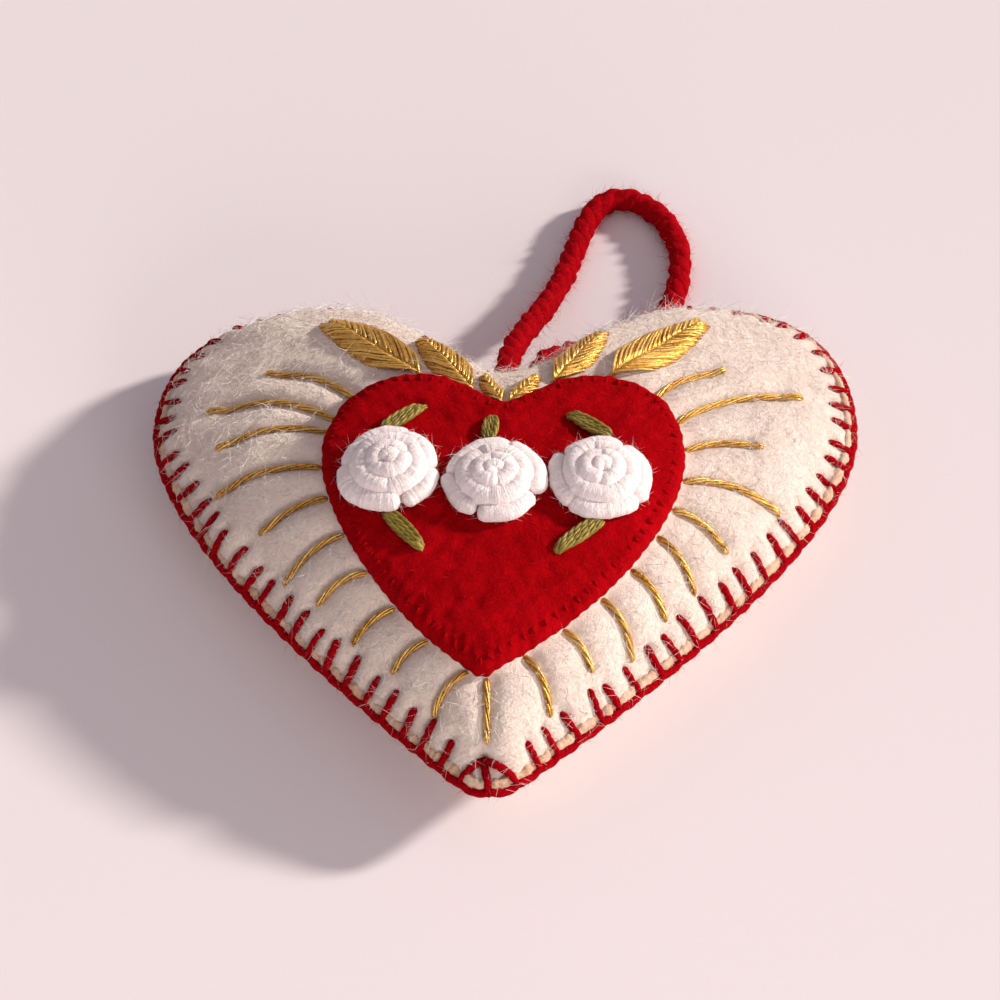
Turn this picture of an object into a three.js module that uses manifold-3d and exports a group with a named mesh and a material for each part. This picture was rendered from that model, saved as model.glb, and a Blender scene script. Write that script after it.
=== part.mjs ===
// Embroidered wool heart ornament: a stuffed felt heart lying on its back, with a red felt heart,
// three white roses, gold rays and leaves on its front, a red blanket stitch round its seam and a
// red wool hanging loop from its cleft.
//
// Millimetres, +Z up. The heart is drawn flat, with its tip at 0, 0 and its lobes towards +Y, and
// its seam in the plane Z = 0. At the end it is laid on the table, with its box's middle over the origin.

import * as THREE from 'three';
import { mergeVertices } from 'three/addons/utils/BufferGeometryUtils.js';
import Module from 'manifold-3d';

const wasm = await Module();
wasm.setup();

// Stuffed body
const bodyWidth = 110;
const bodyHeight = 96;
const bodyWidestAt = 71;
const bodyLobeOffset = 32.7;
const bodyCleftDepth = 20;
const bodyTipRadius = 5.9;
const bodySideReach = 0.395;
const bodySideRise = 0.282;
const frontBulge = 13.8;
const backBulge = 11;
const restingFlat = 1.2;
const bulgeCentreHeight = 55;
const seamGap = 0.3;

// How round the stuffing is: a bulge falls off from its middle as (1 - t^roundness)^softness, where t
// grows from 0 in the middle to 1 at the seam, along rings that start round and end heart-shaped
const roundness = 3;
const softness = 0.6;
const middleRadius = 47;
const ringChange = 1.5;

// Red felt heart
const redWidth = 56.8;
const redHeight = 56.4;
const redWidestAt = 41;
const redLobeOffset = 14.1;
const redCleftDepth = 6.1;
const redTipRadius = 2.4;
const redSideReach = 0.54;
const redSideRise = 0.25;
const redTipAbove = 14.2;
const redShift = 0.6;
const redLean = 2;
const redThickness = 1.5;

// Roses
const roseDiameter = 15.4;
const roseHeight = 6;
const roseSpacing = 16;
const roseRowShift = -0.3;
const roseRowAbove = 48.1;
const middleRoseDrop = 2.3;
const rightRoseDrop = 1.1;

// Gold rays, from the top of each side down to the tip: the bearing from the red heart's middle at which one
// starts, its heading in degrees, and the share of the felt between the red heart and the seam that it crosses
const rayThickness = 1.2;
const rayBend = 0.09;
const leftBearings = [142.5, 152, 157.6, 172, 184.4, 200.7, 218, 234, 249, 262];
const leftHeadings = [152, 165, 182, 185, 202, 211, 204, 213, 213, 227];
const leftReaches = [0.47, 0.68, 0.58, 0.72, 0.6, 0.77, 0.71, 0.72, 0.59, 0.61];
const rightBearings = [38.6, 27.5, 17, 4.7, -7.4, -19.6, -36, -51.8, -68, -81.2];
const rightHeadings = [35, 25.7, 12.5, -6.5, -31, -52, -50, -57, -51, -61.6];
const rightReaches = [0.39, 0.71, 0.45, 0.73, 0.6, 0.72, 0.73, 0.84, 0.57, 0.64];
const bottomRayBearing = 268;
const bottomRayHeading = 272;
const bottomRayReach = 0.65;

// Gold leaves grow from the red heart's upper edge: an outer and an inner pair of large ones and a small pair
// in the cleft. Each has its bearing from the red heart's middle and its heading, in degrees.
const leafThickness = 1.4;
const leafGap = 2;
const outerLeafLength = 21.6;
const outerLeafWidth = 8;
const innerLeafLength = 14.6;
const innerLeafWidth = 5.6;
const smallLeafLength = 5.8;
const smallLeafWidth = 2.8;
const goldLeaves = [
  { bearing: 122, heading: 139, length: outerLeafLength, width: outerLeafWidth },
  { bearing: 106, heading: 127, length: innerLeafLength, width: innerLeafWidth },
  { bearing: 92.5, heading: 117, length: smallLeafLength, width: smallLeafWidth },
  { bearing: 86.5, heading: 54, length: smallLeafLength, width: smallLeafWidth },
  { bearing: 69.5, heading: 58.5, length: innerLeafLength, width: innerLeafWidth },
  { bearing: 53, heading: 46, length: outerLeafLength, width: outerLeafWidth },
];

// Green leaves start beside a rose, on the side given, and lie on the red heart
const greenThickness = 2;
const upperGreenLength = 6.8;
const middleGreenLength = 3.7;
const lowerGreenLength = 8.2;
const upperGreenGap = 1.3;
const lowerGreenGap = 0;
const greenLeaves = [
  { rose: 0, side: 101, heading: 38, length: upperGreenLength, gap: upperGreenGap },
  { rose: 1, side: 99, heading: 84, length: middleGreenLength, gap: upperGreenGap },
  { rose: 2, side: 81, heading: 146, length: upperGreenLength, gap: upperGreenGap },
  { rose: 0, side: 267, heading: -50, length: lowerGreenLength, gap: lowerGreenGap },
  { rose: 2, side: 272, heading: 222, length: lowerGreenLength, gap: lowerGreenGap },
];

// Blanket stitch
const stitchPitch = 4.2;
const stitchLength = 2.4;
const stitchThread = 1.2;
const tipStitchLength = 3.4;
const stitchLift = 0.5;

// Hanging cord: points chosen by hand, from the tip of the heart and from its seam plane
const cordDiameter = 4;
const cordSteps = 60;
const cordRoute = [
  [-0.3, 80.2, 2.4], [0.1, 83, 1.8], [0.9, 88.3, 0.2], [2.9, 95, -2.2], [5.6, 102, -4.6], [7.9, 109.2, -6.6],
  [9.7, 116, -7.7], [11.3, 122.2, -7.9], [13.3, 127.4, -7.9], [16.4, 130, -7.9], [20.2, 129.6, -7.9],
  [23.8, 126.9, -7.9], [26.3, 123, -7.9], [27.7, 118.1, -7.9], [27.9, 113.4, -7.9], [27.2, 108.4, -7.9],
  [25.6, 103.6, -7.6], [22.6, 99.6, -6.6], [18.4, 95.8, -5.2], [13.8, 92, -3.6], [10.1, 89.2, -1.8],
  [7, 86.5, -0.2], [5.4, 83.4, 1],
];

// Touching pieces keep this much room between them
const clearance = 0.3;

const TURN = Math.PI / 180;

// One half of a heart's edge from its cleft to its tip, as Bezier curves between its named places
function heartEdge({ width, height, widestAt, lobeOffset, cleftDepth, tipRadius, sideReach, sideRise }, pieces) {
  const half = width / 2;
  const cleft = height - cleftDepth;
  const tipSide = [0.8 * tipRadius, 0.35 * tipRadius];
  const edge = new THREE.CurvePath();
  const bend = (a, b, c, d) => edge.add(new THREE.CubicBezierCurve(
    new THREE.Vector2(...a), new THREE.Vector2(...b), new THREE.Vector2(...c), new THREE.Vector2(...d)));
  bend([0, cleft], [0.3 * lobeOffset, cleft + 0.08 * cleftDepth], [0.5 * lobeOffset, height], [lobeOffset, height]);
  bend([lobeOffset, height], [lobeOffset + 0.86 * (half - lobeOffset), height],
    [half, widestAt + 0.4 * (height - widestAt)], [half, widestAt]);
  bend([half, widestAt], [half, 0.715 * widestAt],
    [tipSide[0] + sideReach * half, tipSide[1] + sideRise * widestAt], tipSide);
  bend(tipSide, [0.5 * tipRadius, 0.08 * tipRadius], [0.3 * tipRadius, 0], [0, 0]);
  const right = edge.curves.flatMap((curve, i) => curve.getPoints(pieces[i]).slice(i ? 1 : 0));
  const left = right.slice(1, -1).reverse().map((p) => new THREE.Vector2(-p.x, p.y));
  return [...right, ...left].reverse();
}

const bodyShape = {
  width: bodyWidth,
  height: bodyHeight,
  widestAt: bodyWidestAt,
  lobeOffset: bodyLobeOffset,
  cleftDepth: bodyCleftDepth,
  tipRadius: bodyTipRadius,
  sideReach: bodySideReach,
  sideRise: bodySideRise,
};
const redShape = {
  width: redWidth,
  height: redHeight,
  widestAt: redWidestAt,
  lobeOffset: redLobeOffset,
  cleftDepth: redCleftDepth,
  tipRadius: redTipRadius,
  sideReach: redSideReach,
  sideRise: redSideRise,
};
const bodyPieces = [8, 8, 10, 4];
const bodyEdge = heartEdge(bodyShape, bodyPieces);
const fineEdge = heartEdge(bodyShape, bodyPieces.map((count) => 8 * count));
const redMiddle = 0.62 * redHeight;

// The red heart leans: below its middle it bends over to the left, most at its tip
const redEdge = heartEdge(redShape, [5, 5, 7, 2]).map((p) => {
  const below = Math.max(0, 1 - p.y / redMiddle);
  return new THREE.Vector2(p.x + redShift - redLean * below ** 2, p.y + redTipAbove);
});
const bulgeCentre = new THREE.Vector2(0, bulgeCentreHeight);

// How far an edge lies from a centre at a bearing, from the edge's own straight pieces
function reachOf(edge, centre) {
  const spokes = edge.map((p) => p.clone().sub(centre));
  return (angle) => {
    const way = new THREE.Vector2(Math.cos(angle), Math.sin(angle));
    for (let i = 0; i < spokes.length; i += 1) {
      const a = spokes[i];
      const b = spokes[(i + 1) % spokes.length];
      const side = b.clone().sub(a);
      const turn = way.cross(side);
      if (Math.abs(turn) < 1e-12) continue;
      const far = a.cross(side) / turn;
      const along = a.cross(way) / turn;
      if (far > 0 && along >= -1e-9 && along <= 1 + 1e-9) return far;
    }
    return 0;
  };
}

const bodyReach = reachOf(fineEdge, bulgeCentre);

// Height of the stuffed surface over the seam plane at a place on the heart
function surfaceHeight(x, y, bulge) {
  const spoke = new THREE.Vector2(x, y).sub(bulgeCentre);
  if (spoke.length() < 1e-9) return bulge;
  const edge = bodyReach(spoke.angle());
  const share = Math.min(1, spoke.length() / edge);
  const ring = middleRadius + (edge - middleRadius) * share ** ringChange;
  const t = Math.min(1, (share * edge) / ring);
  return bulge * (1 - t ** roundness) ** softness;
}

// A point a given height off the stuffed surface, measured square to it; side is 1 for the front, -1 for the back
function offSurface(x, y, height, bulge = frontBulge, side = 1) {
  const step = 0.2;
  const slopeX = (surfaceHeight(x + step, y, bulge) - surfaceHeight(x - step, y, bulge)) / (2 * step);
  const slopeY = (surfaceHeight(x, y + step, bulge) - surfaceHeight(x, y - step, bulge)) / (2 * step);
  const normal = new THREE.Vector3(-slopeX, -slopeY, 1).normalize();
  const base = new THREE.Vector3(x, y, surfaceHeight(x, y, bulge) + seamGap / 2);
  const point = base.addScaledVector(normal, height);
  return new THREE.Vector3(point.x, point.y, side * point.z);
}

function geometryOf(points, triangles) {
  const geometry = new THREE.BufferGeometry();
  geometry.setAttribute('position', new THREE.Float32BufferAttribute(points.flatMap((p) => [p.x, p.y, p.z]), 3));
  geometry.setIndex(triangles);
  geometry.computeVertexNormals();
  return geometry;
}

// A closed body between two surfaces over an outline: rings shrink from the outline to its centre,
// place(point, t, top) lifts each ring's points, and the two outermost rings are joined where they differ
function pillow(edge, centre, rings, lowerRings, place, sharesRim) {
  const count = edge.length;
  const points = [];
  const triangles = [];
  const layer = (ringsHere, top) => {
    const first = points.length;
    points.push(place(centre, 0, top));
    ringsHere.forEach((t) => edge.forEach((p) => points.push(place(centre.clone().lerp(p, t), t, top))));
    return first;
  };
  const faces = (ringsHere, first, top) => {
    const add = (a, b, c) => triangles.push(...(top ? [a, b, c] : [a, c, b]));
    const at = (ring, i) => first + 1 + ring * count + (i % count);
    for (let i = 0; i < count; i += 1) {
      add(first, at(0, i), at(0, i + 1));
      for (let ring = 1; ring < ringsHere.length; ring += 1) {
        add(at(ring - 1, i), at(ring, i), at(ring, i + 1));
        add(at(ring - 1, i), at(ring, i + 1), at(ring - 1, i + 1));
      }
    }
    return (i) => at(ringsHere.length - 1, i);
  };
  const topRim = faces(rings, layer(rings, true), true);
  const bottomRim = faces(lowerRings, layer(lowerRings, false), false);
  for (let i = 0; i < count && !sharesRim; i += 1) {
    triangles.push(topRim(i), bottomRim(i), bottomRim(i + 1), topRim(i), bottomRim(i + 1), topRim(i + 1));
  }
  return tidy(geometryOf(points, triangles));
}

// Shared vertices merged, with only position left
function tidy(geometry) {
  const bare = geometry.clone();
  bare.deleteAttribute('normal');
  bare.deleteAttribute('uv');
  return mergeVertices(bare, 1e-5);
}

function solidOf(geometry) {
  const merged = tidy(geometry);
  return new wasm.Manifold(new wasm.Mesh({
    numProp: 3,
    vertProperties: new Float32Array(merged.attributes.position.array),
    triVerts: new Uint32Array(merged.index.array),
  }));
}

function geometryFrom(solid) {
  const mesh = solid.getMesh();
  const geometry = new THREE.BufferGeometry();
  geometry.setAttribute('position', new THREE.BufferAttribute(mesh.vertProperties, 3));
  geometry.setIndex(new THREE.BufferAttribute(mesh.triVerts, 1));
  geometry.computeVertexNormals();
  return geometry;
}

// A thread laid along points, with few sides
function strand(points, thickness, sides, steps) {
  const circle = Array.from({ length: sides }, (_, i) => {
    const angle = (i / sides) * 2 * Math.PI;
    return new THREE.Vector2(Math.cos(angle), Math.sin(angle)).multiplyScalar(thickness / 2);
  });
  return new THREE.ExtrudeGeometry(new THREE.Shape(circle), {
    steps,
    curveSegments: 1,
    bevelEnabled: false,
    extrudePath: new THREE.CatmullRomCurve3(points, false, 'centripetal'),
  });
}

const wool = (color) => new THREE.MeshStandardMaterial({ color, roughness: 0.95, metalness: 0 });
const metallic = (color) => new THREE.MeshStandardMaterial({ color, roughness: 0.4, metalness: 0.6 });

function piece(name, geometry, material) {
  const mesh = new THREE.Mesh(geometry, material);
  mesh.name = name;
  return mesh;
}

// The two stuffed felt panels meet at the seam plane
const panelRings = [0.2, 0.4, 0.58, 0.74, 0.86, 0.94, 0.985, 1];
const flatRings = [1];

function panel(bulge, side) {
  const front = side > 0;
  return pillow(bodyEdge, bulgeCentre, front ? panelRings : flatRings, front ? flatRings : panelRings, (p, t, top) => {
    const height = top === front && t < 1 ? surfaceHeight(p.x, p.y, bulge) : 0;
    return new THREE.Vector3(p.x, p.y, side * (height + seamGap / 2));
  }, true);
}

function frontPanel() {
  return piece('front_panel', panel(frontBulge, 1), wool('#efe8e2'));
}

// The back is flattened where it rests on the table
const restingDepth = backBulge + seamGap / 2 - restingFlat;

function backPanel() {
  const room = 2 * bodyWidth;
  const below = new THREE.BoxGeometry(room, room, room);
  below.translate(0, bulgeCentreHeight, -restingDepth - room / 2);
  const flattened = solidOf(panel(backBulge, -1)).subtract(solidOf(below));
  return piece('back_panel', geometryFrom(flattened), wool('#efe8e2'));
}

// The red heart is one sheet of felt that follows the stuffed front
const redCentre = new THREE.Vector2(redShift, redTipAbove + redMiddle);
const redTop = 2 * clearance + redThickness;

function redHeart() {
  const rings = [0.4, 0.72, 1];
  const geometry = pillow(redEdge, redCentre, rings, rings, (p, t, top) => (
    offSurface(p.x, p.y, clearance + (top ? redThickness : 0))), false);
  return piece('red_heart', geometry, wool('#b3060f'));
}

// A rose of wrapped stitches: five outer petals that overlap, two rings of smaller ones and a raised bud
const roseCentres = [
  new THREE.Vector2(roseRowShift - roseSpacing, roseRowAbove),
  new THREE.Vector2(roseRowShift, roseRowAbove - middleRoseDrop),
  new THREE.Vector2(roseRowShift + roseSpacing, roseRowAbove - rightRoseDrop),
];
const petalDip = 0.05;

function rose(name, centre, turn) {
  const count = 25;
  const outline = Array.from({ length: count }, (_, i) => {
    const angle = (i / count) * 2 * Math.PI;
    const scallop = 1 - petalDip * (0.5 + 0.5 * Math.cos(5 * (angle - turn)));
    return new THREE.Vector2(Math.cos(angle), Math.sin(angle)).multiplyScalar(0.5 * roseDiameter * scallop).add(centre);
  });
  const rings = [0.2, 0.42, 0.6, 0.86, 1];
  const profile = { 0: 0.96, 0.2: 1, 0.42: 0.8, 0.6: 0.84, 0.86: 0.58, 1: 0.2 };
  const geometry = pillow(outline, centre, rings, flatRings, (p, t, top) => {
    const angle = Math.atan2(p.y - centre.y, p.x - centre.x);
    const petal = t > 0.2 ? 0.06 * Math.cos(5 * (angle - turn) + 4 * t) : 0;
    const lift = top ? roseHeight * (profile[t] - petal) : clearance;
    return offSurface(p.x, p.y, redTop + lift);
  }, false);
  return piece(name, geometry, wool('#f4f0ee'));
}

// Rays start at the red heart's edge and reach a share of the way from it to the seam
const redReach = reachOf(redEdge, redCentre);

function ray(name, bearing, heading, share, bend) {
  const angle = bearing * TURN;
  const out = new THREE.Vector2(Math.cos(angle), Math.sin(angle));
  const way = new THREE.Vector2(Math.cos(heading * TURN), Math.sin(heading * TURN));
  const across = new THREE.Vector2(-way.y, way.x);
  const from = redReach(angle) + 2 * clearance + rayThickness / 2;
  const length = share * (reachOf(fineEdge, redCentre)(angle) - from);
  const points = [0, 0.33, 0.67, 1].map((s) => {
    const p = redCentre.clone().addScaledVector(out, from).addScaledVector(way, s * length)
      .addScaledVector(across, 4 * bend * length * s * (1 - s));
    return offSurface(p.x, p.y, clearance + rayThickness / 2);
  });
  return piece(name, strand(points, rayThickness, 4, 4), metallic('#d9a02c'));
}

function rays() {
  const made = [];
  leftBearings.forEach((bearing, i) => {
    made.push([bearing, leftHeadings[i], leftReaches[i], -rayBend]);
    made.push([rightBearings[i], rightHeadings[i], rightReaches[i], rayBend]);
  });
  made.push([bottomRayBearing, bottomRayHeading, bottomRayReach, 0]);
  return made.map(([bearing, heading, share, bend], i) => (
    ray(`ray_${String(i + 1).padStart(2, '0')}`, bearing, heading, share, bend)));
}

// A leaf is a pointed oval of stitches, highest beside its vein
function leaf(name, start, heading, length, width, thickness, base, count, material) {
  const angle = heading * TURN;
  const way = new THREE.Vector2(Math.cos(angle), Math.sin(angle));
  const across = new THREE.Vector2(-way.y, way.x);
  const side = (sign) => Array.from({ length: count }, (_, i) => {
    const s = i / count;
    const along = sign > 0 ? 1 - s : s;
    const half = 0.5 * width * Math.sin(Math.PI * along ** 0.8) ** 0.75;
    return start.clone().addScaledVector(way, along * length).addScaledVector(across, sign * half);
  });
  const outline = [...side(-1), ...side(1)];
  const centre = start.clone().addScaledVector(way, 0.5 * length);
  const crown = { 0: 0.7, 0.6: 1, 1: 0.35 };
  const geometry = pillow(outline, centre, [0.6, 1], flatRings, (p, t, top) => (
    offSurface(p.x, p.y, base + (top ? thickness * crown[t] : 0))), false);
  return piece(name, geometry, material);
}

function leaves() {
  const gold = goldLeaves.map(({ bearing, heading, length, width }, i) => {
    const angle = bearing * TURN;
    const start = new THREE.Vector2(Math.cos(angle), Math.sin(angle))
      .multiplyScalar(redReach(angle) + leafGap).add(redCentre);
    return leaf(`gold_leaf_${i + 1}`, start, heading, length, width, leafThickness, 2 * clearance, 7,
      metallic('#c98f26'));
  });
  const green = greenLeaves.map(({ rose: index, side, heading, length, gap }, i) => {
    const away = new THREE.Vector2(Math.cos(side * TURN), Math.sin(side * TURN));
    const start = roseCentres[index].clone()
      .addScaledVector(away, roseDiameter / 2 + clearance + 0.5 * greenThickness + gap);
    return leaf(`green_leaf_${i + 1}`, start, heading, length, greenThickness, 0.6 * greenThickness, redTop, 5,
      wool('#8a8a2c'));
  });
  return [...gold, ...green];
}

// The blanket stitch: one thread that runs round the edge, with a stitch over it at each step
function alongEdge(edge) {
  const starts = [0];
  edge.forEach((p, i) => starts.push(starts[i] + p.distanceTo(edge[(i + 1) % edge.length])));
  const total = starts[edge.length];
  return {
    total,
    at(distance) {
      const wrapped = ((distance % total) + total) % total;
      const i = starts.findIndex((s) => s > wrapped) - 1;
      const share = (wrapped - starts[i]) / (starts[i + 1] - starts[i]);
      const a = edge[i];
      const b = edge[(i + 1) % edge.length];
      const way = b.clone().sub(a).normalize();
      return { point: a.clone().lerp(b, share), outward: new THREE.Vector2(way.y, -way.x) };
    },
  };
}

// The thread has a square section on its corners, in the plane across the edge: out, up, in and down.
// Each stitch grows from the two inner faces of the thread's run, over the front and under the back,
// so the whole edging is one body.
function blanketStitch() {
  const run = alongEdge(fineEdge);
  const count = Math.round(run.total / stitchPitch);
  const pitch = run.total / count;
  const tipAt = fineEdge.reduce((best, p, i) => (p.y < fineEdge[best].y ? i : best), 0);
  const tipDistance = fineEdge.slice(0, tipAt).reduce((sum, p, i) => sum + p.distanceTo(fineEdge[i + 1]), 0);
  const half = 0.5 * stitchThread;
  const runHalf = 1.3 * half;
  const points = [];
  const triangles = [];
  const quad = (a, b, c, d) => triangles.push(a, b, c, a, c, d);
  const column = (distance) => {
    const { point, outward } = run.at(distance);
    const first = points.length;
    const place = (out, up) => points.push(new THREE.Vector3(point.x + out * outward.x, point.y + out * outward.y, up));
    const middle = clearance + runHalf;
    place(middle + runHalf, 0);
    place(middle, runHalf);
    place(middle - runHalf, 0);
    place(middle, -runHalf);
    return first;
  };
  const columns = Array.from({ length: 2 * count }, (_, i) => (
    column(tipDistance + Math.floor(i / 2) * pitch + (i % 2 ? half : -half))));
  const innerEnd = (i, point, outward) => {
    const fromTip = Math.min(i, count - i);
    if (fromTip > 1) return point.clone().addScaledVector(outward, -stitchLength);
    return new THREE.Vector2(1.1 * Math.sign(Math.round(point.x)), tipStitchLength);
  };
  // One side of one stitch: square sections carried from a face of the run to the stitch's inner end
  const arm = (i, bulge, side, face) => {
    const { point, outward } = run.at(tipDistance + i * pitch);
    const end = innerEnd(i, point, outward);
    const along = new THREE.Vector3(-outward.y, outward.x, 0);
    let last = face;
    [0.42, 1].forEach((s) => {
      const p = point.clone().lerp(end, s);
      const low = offSurface(p.x, p.y, stitchLift, bulge, side);
      const high = offSurface(p.x, p.y, stitchLift + stitchThread, bulge, side);
      const first = points.length;
      points.push(
        high.clone().addScaledVector(along, -half), high.clone().addScaledVector(along, half),
        low.clone().addScaledVector(along, half), low.clone().addScaledVector(along, -half));
      const section = [first, first + 1, first + 2, first + 3];
      section.forEach((_, k) => {
        const next = (k + 1) % 4;
        const corners = [last[k], last[next], section[next], section[k]];
        quad(...(side > 0 ? corners : corners.reverse()));
      });
      last = section;
    });
    quad(...(side > 0 ? last : [...last].reverse()));
  };
  columns.forEach((a, i) => {
    const b = columns[(i + 1) % columns.length];
    const stitched = i % 2 === 0;
    [0, 1, 2, 3].forEach((k) => {
      const next = (k + 1) % 4;
      const inner = k === 1 || k === 2;
      if (!(stitched && inner)) quad(a + k, b + k, b + next, a + next);
    });
    if (!stitched) return;
    arm(i / 2, frontBulge, 1, [a + 1, b + 1, b + 2, a + 2]);
    arm(i / 2, backBulge, -1, [a + 3, b + 3, b + 2, a + 2]);
  });
  return piece('blanket_stitch', geometryOf(points, triangles), wool('#a80812'));
}

function hangingCord() {
  const points = cordRoute.map((p) => new THREE.Vector3(...p));
  return piece('hanging_cord', strand(points, cordDiameter, 8, cordSteps), wool('#9c0510'));
}

const heart = new THREE.Group();
heart.add(frontPanel(), backPanel(), redHeart());
['left', 'middle', 'right'].forEach((side, i) => heart.add(rose(`rose_${side}`, roseCentres[i], 0.4 + 0.9 * i)));
heart.add(...rays(), ...leaves(), blanketStitch());
const reach = new THREE.Box3().setFromObject(heart);
heart.add(hangingCord());

// Laid on the table, with the middle of its box over the origin
const middle = reach.getCenter(new THREE.Vector3());
heart.position.set(-middle.x, -middle.y, restingDepth);

const ornament = new THREE.Group();
ornament.add(heart);

export default ornament;
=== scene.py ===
"""The looks of an embroidered wool heart ornament, laid out as an add-on and run as a script.

The heart lies on its back: its seam is in one level plane, its tip points at the camera, and its
surfaces follow one formula, so that every thread, leaf and rose is placed on the felt by its place in
the heart's own plan.
"""

import math
from collections import namedtuple

import bpy
import numpy as np
from bpy.props import FloatProperty, FloatVectorProperty, IntProperty, PointerProperty
from mathutils import Matrix, Vector


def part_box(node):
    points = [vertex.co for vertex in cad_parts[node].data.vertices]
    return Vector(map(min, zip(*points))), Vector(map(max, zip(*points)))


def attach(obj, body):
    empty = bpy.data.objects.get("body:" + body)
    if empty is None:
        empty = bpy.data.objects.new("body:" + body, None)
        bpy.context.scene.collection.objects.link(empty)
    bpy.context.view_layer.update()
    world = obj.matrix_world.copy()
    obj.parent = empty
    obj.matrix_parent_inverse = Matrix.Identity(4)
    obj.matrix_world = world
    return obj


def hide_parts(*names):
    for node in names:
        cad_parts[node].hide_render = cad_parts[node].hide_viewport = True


bl_info = {
    "name": "Embroidered Wool Heart",
    "version": (1, 0, 0),
    "blender": (4, 5, 0),
    "location": "View3D > Sidebar > Wool Heart",
    "description": "Builds the felt, threads, roses and cord of an embroidered heart ornament",
    "category": "Add Mesh",
}

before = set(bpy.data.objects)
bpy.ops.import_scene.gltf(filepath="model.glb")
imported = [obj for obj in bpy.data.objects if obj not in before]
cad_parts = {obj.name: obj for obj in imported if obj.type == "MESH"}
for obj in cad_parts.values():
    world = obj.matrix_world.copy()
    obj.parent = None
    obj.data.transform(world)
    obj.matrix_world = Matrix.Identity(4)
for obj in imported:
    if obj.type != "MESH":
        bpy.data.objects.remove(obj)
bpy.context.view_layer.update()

MM = 0.001
TURN = math.pi / 180

# The heart's plan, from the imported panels
FRONT_LOW, FRONT_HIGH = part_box("front_panel")
BACK_LOW, BACK_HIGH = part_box("back_panel")
SEAM_GAP = FRONT_LOW.z - BACK_HIGH.z
SEAM = FRONT_LOW.z - SEAM_GAP / 2
TIP = FRONT_LOW.y
WIDTH = FRONT_HIGH.x - FRONT_LOW.x
HEIGHT = FRONT_HIGH.y - FRONT_LOW.y
FRONT_BULGE = FRONT_HIGH.z - FRONT_LOW.z
BACK_BULGE = 11 * MM
WIDEST_AT = 71 * MM
LOBE_OFFSET = 32.7 * MM
CLEFT_DEPTH = 20 * MM
TIP_RADIUS = 5.9 * MM
SIDE_REACH = 0.395
SIDE_RISE = 0.282
CENTRE = np.array([0, TIP + 55 * MM])
MIDDLE_RADIUS = 47 * MM
RING_CHANGE = 1.5
ROUNDNESS = 3
SOFTNESS = 0.6

# Where the edge's curves are pulled to, as shares of the sizes they round off
CURVE_POINTS = 200
TIP_PULL = (0.3, 0.5, 0.08)
TIP_END = (0.8, 0.35)
WIDEST_PULL = 0.715
LOBE_PULL = (0.4, 0.86)
CLEFT_PULL = (0.5, 0.3, 0.08)
EDGE_STEP = 0.3 * MM

# The left lobe is stuffed a little fuller towards its top, and its far side sags
FULL_LOBE = np.array([-34 * MM, TIP + 87 * MM])
FULL_LOBE_SIZE = 12 * MM
FULL_LOBE_LIFT = 2.3 * MM
DROOP = 3.6 * MM
DROOP_AT = np.array([-40 * MM, TIP + 92 * MM])
DROOP_SIZE = 19 * MM

# The red heart, from its tip
RED_WIDTH = 56.8 * MM
RED_HEIGHT = 56.4 * MM
RED_WIDEST_AT = 41 * MM
RED_LOBE_OFFSET = 14.1 * MM
RED_CLEFT_DEPTH = 6.1 * MM
RED_TIP_RADIUS = 2.4 * MM
RED_SIDE_REACH = 0.54
RED_SIDE_RISE = 0.25
RED_LEAN = 2 * MM
RED_TIP = np.array([0.6 * MM, TIP + 14.2 * MM])
RED_CENTRE = RED_TIP + [0, 0.62 * RED_HEIGHT]

# What the stitches, the rays and the red heart press into the felt: depths and half widths
LUMP_LENGTH = 26 * MM
FRONT_LUMPS, BACK_LUMPS = 3, 8
STITCH_TRENCH = (0.6 * MM, 0.85 * MM)
STITCH_PINCH = (0.35 * MM, 1.3 * MM)
RAY_TRENCH = (0.8 * MM, 1.4 * MM)
RAY_HOLLOW = (0.6 * MM, 3.4 * MM)
RED_DENT = (0.35 * MM, 0.05)
RED_FADE = (0.9, 1.06)
SEAM_FADE = 0.985
SLOPE_STEP = 0.25 * MM

# The blanket stitches
STITCH_SEED = 11
STITCH_JITTER = 0.09
STITCH_UNEVEN = 0.2
STITCH_LEAN = 0.6
TIP_FAN = [-1.2 * MM, TIP + 2.7 * MM]
STITCH_ANCHOR = 1 * MM
STITCH_PROUD = 0.55 * MM
STITCH_PITCH = 3.4 * MM
STITCH_FULL = 0.78
RUN_POINTS = 1100
RUN_SIDES = 8
RUN_BOW = 0.16 * MM
RUN_WAVE = 0.14 * MM
RUN_THICKER = 1.22
RUN_FULL = 0.84
RUN_PITCH = 4 * MM

# Roses, rays and leaves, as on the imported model
ROSE_SPACING = 16 * MM
ROSE_SHIFT = -0.3 * MM
ROSE_ROW = TIP + 49.0 * MM
ROSE_RADIUS = 7.7 * MM
ROSE_CENTRES = np.array([
    [ROSE_SHIFT - ROSE_SPACING, ROSE_ROW],
    [ROSE_SHIFT, ROSE_ROW - 2.3 * MM],
    [ROSE_SHIFT + ROSE_SPACING, ROSE_ROW - 1.1 * MM],
])
ROSE_NAMES = ("rose_left", "rose_middle", "rose_right")
LEFT_BEARINGS = (142.5, 152, 157.6, 172, 184.4, 200.7, 218, 234, 249, 262)
LEFT_HEADINGS = (152, 165, 182, 185, 202, 211, 204, 213, 213, 227)
LEFT_REACHES = (0.47, 0.68, 0.58, 0.72, 0.6, 0.77, 0.71, 0.72, 0.59, 0.61)
RIGHT_BEARINGS = (38.6, 27.5, 17, 4.7, -7.4, -19.6, -36, -51.8, -68, -81.2)
RIGHT_HEADINGS = (35, 25.7, 12.5, -6.5, -31, -52, -50, -57, -51, -61.6)
RIGHT_REACHES = (0.39, 0.71, 0.45, 0.73, 0.6, 0.72, 0.73, 0.84, 0.57, 0.64)
BOTTOM_RAY = (268, 272, 0.65)
RAY_BEND = 0.09
RAY_POINTS = 24
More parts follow.
